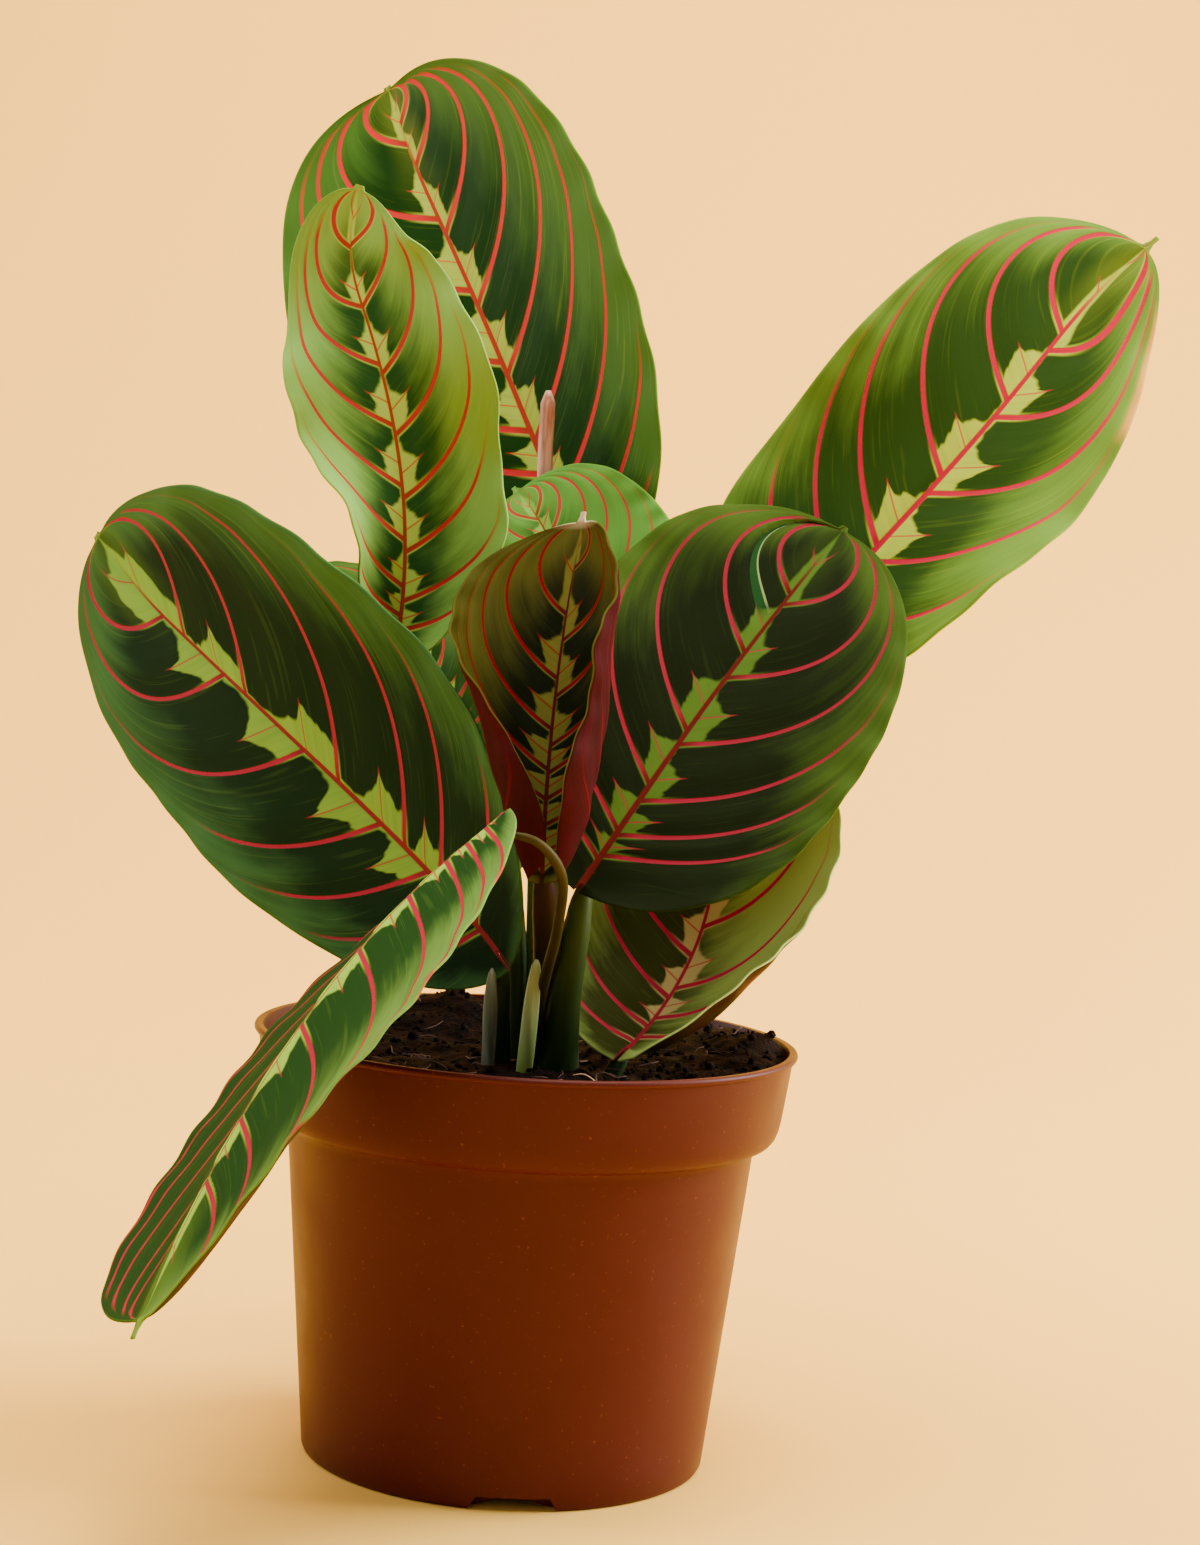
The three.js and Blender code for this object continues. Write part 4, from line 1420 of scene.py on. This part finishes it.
# The lower leaf's margin ground is its own yellow green, drawn paler as painted light shining through the
# blade from behind.
LOWER = BladeFinish(
    "olive", "#3E461C", "#B4D66E", "#E2CC8C", "#D42C54", "#C02C48",
    under="#341A10", lobe_mm=5.2, dark_reach=0.46, vein_mm=0.7, rib_mm=0.7, start=0.1,
    sheen=0.05)
BEHIND = BladeFinish(
    "dull green", "#1E3E16", "#446C26", "#8CB83C", "#B82E34", "#984A28",
    lobe_mm=6, dark_reach=0.5, vein_mm=0.5, rib_mm=0.5)
LOW_BACK = BladeFinish(
    "grey green", "#243E1A", "#446C2A", "#8CAE54", "#A82830", "#984A28",
    lobe_mm=7, dark_reach=0.5, vein_mm=0.5, rib_mm=0.5)

# A Half's ninth number, where given, is its painted shade: its ground is drawn darker where it lies in
# shadow, and lighter below 0, as painted light shining through it.
LEAVES = (
    LeafBlade("leaf_top_back", (10, 50, 191.5), 159, 96, 139, 57, 7, -8, -12.5, -2.5, 76.5, -8, 1.02,
        Half(9.5, 23, 25, -0.85, 0, (2.3, 2.55), (0.05, 0.13, 0.21, 0.29, 0.42, 0.56, 0.705, 0.86), 0.3),
        Half(8, 20, 24, 0.45, 0, (2.4, 2.45), (0.02, 0.07, 0.16, 0.27, 0.395, 0.53, 0.675, 0.815, 0.9), 0.3),
        TOP_BACK, "leaf_dark", blunt=0.95, drip=0.2, seed=1),
    LeafBlade("leaf_top_left", (-34.5, 10.5, 176), 109, 48.6, 154.5, 97, 49, -57, 1, 13, 40, 31.5, 1.06,
        Half(-4.5, 83, -9, -3.3, -0.07, (2.15, 1.6), (0.07, 0.13, 0.225, 0.335, 0.46, 0.59, 0.72, 0.85), 0.6),
        Half(7, 92, -3, -3.6, 0.1, (2.05, 1.8), (0.04, 0.1, 0.2, 0.31, 0.44, 0.57, 0.72, 0.855), 0.4),
        TOP_LEFT, "leaf_light", blunt=0.95, drip=0.3, seed=2),
    LeafBlade("leaf_right", (47.4, 30, 173.2), 152, 70, 23, 50.5, 2.5, 8, -1.5, -11, -49, -8, 0.9,
        Half(0.5, 38, -12, -1.1, 0.21, (2.5, 2.9), (0.05, 0.11, 0.19, 0.285, 0.435, 0.6, 0.755), 0.5, 0.22),
        Half(-2, 37, -13, 1.9, 0.19, (2.3, 1.6), (0.05, 0.13, 0.255, 0.4, 0.565, 0.715), 1.25),
        RIGHT, "leaf_dark", seed=3,
        marks=(Mark(Blemish.DRY, True, 0.66, 0.9, 0.93, 1.2, 0.04),)),
    LeafBlade("leaf_big_left", (-7.5, -17.5, 113.5), 157, 82.5, 146, 40, 18, -18, -4, 7, 97, -5.5, 1.13,
        Half(0.5, 18.5, 9.5, 0.6, 0, (2.65, 2.4), (0.04, 0.085, 0.155, 0.255, 0.42, 0.61, 0.775), 0.3),
        Half(6.5, 16, 12, 0.45, -0.2, (2.8, 1.6), (0.05, 0.13, 0.205, 0.345, 0.555, 0.715), 0.5),
        BIG_LEFT, "leaf_dark", blunt=1.07, lobe=5, drip=0.2, seed=4),
    LeafBlade("leaf_centre_right", (9.5, -22, 129.5), 116, 75, 42, 49, 7, 2, 6, 2, -47, 13, 1.03,
        Half(3, 22, 4.5, 1.25, -0.07, (2.3, 2.65), (0.06, 0.13, 0.245, 0.385, 0.6, 0.77), 0.7),
        Half(3.5, 28, 4, 0, 0, (2.9, 1.95), (0.07, 0.12, 0.205, 0.35, 0.53, 0.74), 0.95),
        CENTRE, "leaf_dark", blunt=0.95, drip=0.4, seed=5,
        marks=(Mark(Blemish.TEAR, False, 4.3, 4.7, 0.08, 1.2, 0.08, True, 1.4),)),
    LeafBlade("leaf_cupped", (1, -31, 132), 79, 61, 97, 78, 5, -2, -37, 0, 8, 12, 1.02,
        Half(-4, 239, 23, -1, 0.18, (2.3, 2.3), (0.06, 0.13, 0.2, 0.28, 0.39, 0.53, 0.71), 0.6),
        Half(-8, 182, 44, -2, 0.04, (2.3, 2.3), (0.06, 0.13, 0.2, 0.27, 0.345, 0.48, 0.635, 0.84), 0.9),
        CUPPED, "leaf_young", shape=Shape.ROLLED, seed=6,
        marks=(Mark(Blemish.PALE, True, 0.965, 1.2, -0.2, 1.2, 0.03),
               Mark(Blemish.PALE, False, 0.965, 1.2, -0.2, 1.2, 0.03))),
    LeafBlade("leaf_small_arched", (15.4, 21.4, 171.6), 58, 48, 138, 56, 10, 14, -6, 0, 56, -3, 1.12,
        Half(8, 25, 15, 0, 0, (2.3, 2.3), (0.08, 0.2, 0.35, 0.5, 0.66, 0.8), 0.5),
        Half(2, 8, 4, 0.7, -0.1, (2.3, 2.3), (0.06, 0.15, 0.26, 0.4, 0.54, 0.7, 0.82), 0.5),
        ARCHED, "leaf_light", seed=7),
    LeafBlade("leaf_drooping", (-8, -50, 145.5), 131, 80, 211, -34, 26.5, -6, 35, 3, 1, -20, 1.07,
        Half(-8, 6, 63, -0.13, -0.23, (1.5, 2),
             (0.035, 0.075, 0.12, 0.205, 0.325, 0.475, 0.645, 0.75), 0.6, 0.1),
        Half(-41, 20, 45, 0, 0, (3.4, 3.7), (0.035, 0.07, 0.12, 0.2, 0.32, 0.475, 0.645, 0.75), 0.4, 1.2),
        DROOPING, "leaf_light", blunt=1.18, seed=8),
    LeafBlade("leaf_lower_right", (21.7, -17.1, 94.2), 96, 62, 55.7, 26.4, -67, -12, 35, -7, -7.5, 20.5, 1,
        Half(-15.3, 56.4, 13.2, 1.2, 0, (1.9, 2.4), (0.03, 0.09, 0.19, 0.32, 0.48, 0.62, 0.76), 0.6, 0.4),
        Half(-17, 106, 18.2, -0.6, 0.17, (2.75, 2.7), (0.05, 0.12, 0.22, 0.4, 0.56, 0.7, 0.82), 0.6, -0.3),
        LOWER, "leaf_young", blunt=0.83, lobe=5, shape=Shape.ROLLED, seed=9),
    LeafBlade("leaf_behind_left", (-18, 23, 153), 72, 38, 150, 65, 61, 12, -5, 0, 3, 4, 1,
        Half(8, 34, 21, 0, 0, (2.3, 2.3), (0.06, 0.15, 0.27, 0.4, 0.54, 0.68, 0.82), 0.5),
        Half(8, 34, 22, -0.7, -0.1, (2.3, 2.3), (0.06, 0.15, 0.27, 0.4, 0.54, 0.68, 0.82), 0.5),
        BEHIND, "leaf_dark", seed=10),
    LeafBlade("leaf_low_back", (3, 24, 140), 100, 56, 95, 12, 48, 10, 0, 0, 0, 0, 1,
        Half(8, 30, 20, 1, 0, (2.3, 2.3), (0.05, 0.12, 0.22, 0.35, 0.48, 0.62, 0.76, 0.88), 0.5),
        Half(8, 30, 20, 1, 0.5, (2.3, 2.3), (0.05, 0.12, 0.22, 0.35, 0.48, 0.62, 0.76, 0.88), 0.5),
        LOW_BACK, "leaf_light", seed=11),
)

# The new leaf stands on a stalk along the first part of its route, up to where its blade starts.
SPEAR_ROUTE = [(5, -4, 80), (4, 12, 119.5), (7, 15, 143), (7, 32, 169), (-3.5, 49.5, 212), (-4.5, 50, 238.5)]
SPEAR_STALK = [*SPEAR_ROUTE[:4], (6.3, 33.6, 172.0)]

# Each stalk's radius, how far short of its blade's base and under it it ends, and its route.
STALK_ROUTES = {
    "leaf_drooping": (1.2, -5.0, 1.1, [(2, -13, 80), (2.4, -21, 104), (5, -36, 122), (4.6, -47.5, 134.5),
                                       (-1.0, -51.5, 140.6)]),
    "leaf_big_left": (1.9, 0.6, 1.6, [(-5.3, -12.5, 80), (-6, -14.8, 98)]),
    "leaf_centre_right": (3.3, -2.0, 2.6, [(7, -13, 80), (7.5, -17.5, 102), (9, -20, 118)]),
    "leaf_cupped": (3.4, -2.0, 1.6, [(4, -13, 80), (4, -14, 104), (2.5, -25, 123)]),
    "leaf_lower_right": (1.5, 0.4, 0.8, [(17.5, -15.5, 82), (19.3, -17.2, 89.5)]),
    "leaf_top_left": (1.6, 1.6, 0, [(-2, -4, 80), (-4.5, -0.5, 115), (-16.5, 6, 148.5)]),
    "leaf_top_back": (1.7, 1.6, 0, [(2, -4, 80), (0, 6, 115), (-1, 24, 156), (2, 41, 177)]),
    "leaf_right": (1.7, 1.6, 0, [(6, -4, 80), (3, 0.5, 119), (21.5, 27.5, 166)]),
    "leaf_small_arched": (1.5, 1.6, 0, [(5, -2, 80), (4.5, 11, 120), (9.5, 15, 150)]),
    "leaf_behind_left": (1.4, 1.6, 0, [(-1, -3, 80), (-3, 5, 115), (-9, 16, 140)]),
    "leaf_low_back": (1.6, 1.6, 0, [(4, -3, 80), (3, 7, 115), (3, 18, 134)]),
}

GREEN_SKIN = StalkSkin("sheath skin fresh", "#6E8A3A", "#9CB070", specular=0.5, depth=0.0, stretch=0.08,
                       rib_mm=0.7, blotch_mm=0.7, blotches=0.6, turned_mm=108.0, relief=(0.5, 0.2))
DRY_SKIN = replace(GREEN_SKIN, name="sheath skin dry", foot="#343E26", top="#6C765A", roughness=0.7)


def main() -> None:
    """Builds the studio and every piece of the plant, in order."""
    logging.basicConfig(level=logging.INFO, format="%(name)s: %(message)s")
    Camera().build()
    Studio().build()
    NurseryPot().build()
    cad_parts["soil"].data.materials.clear()
    Soil().build()
    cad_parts["soil"].data.materials.append(bpy.data.materials["peat, moist, crumbled"])
    for leaf in LEAVES:
        leaf.build()
    ends = {leaf.name: leaf for leaf in LEAVES}
    routes = {name: (radius, [*route, ends[name].stalk_end(setback, under)])
              for name, (radius, setback, under, route) in STALK_ROUTES.items()}
    spear = RolledLeaf(SPEAR_ROUTE, SPEAR_STALK[-1][2])
    routes["new_leaf"] = (spear.radius, SPEAR_STALK)
    Stalks(routes).build()
    spear.build()
    Sheath("dry_sheath", (-8.0, -18.2, 80), (-8.4, -19.8, 110), -30, DRY_SKIN).build()
    Sheath("green_sheath", (-0.6, -22.8, 80), (1.0, -24.0, 113), -6, GREEN_SKIN).build()


if __name__ == "__main__":
    main()
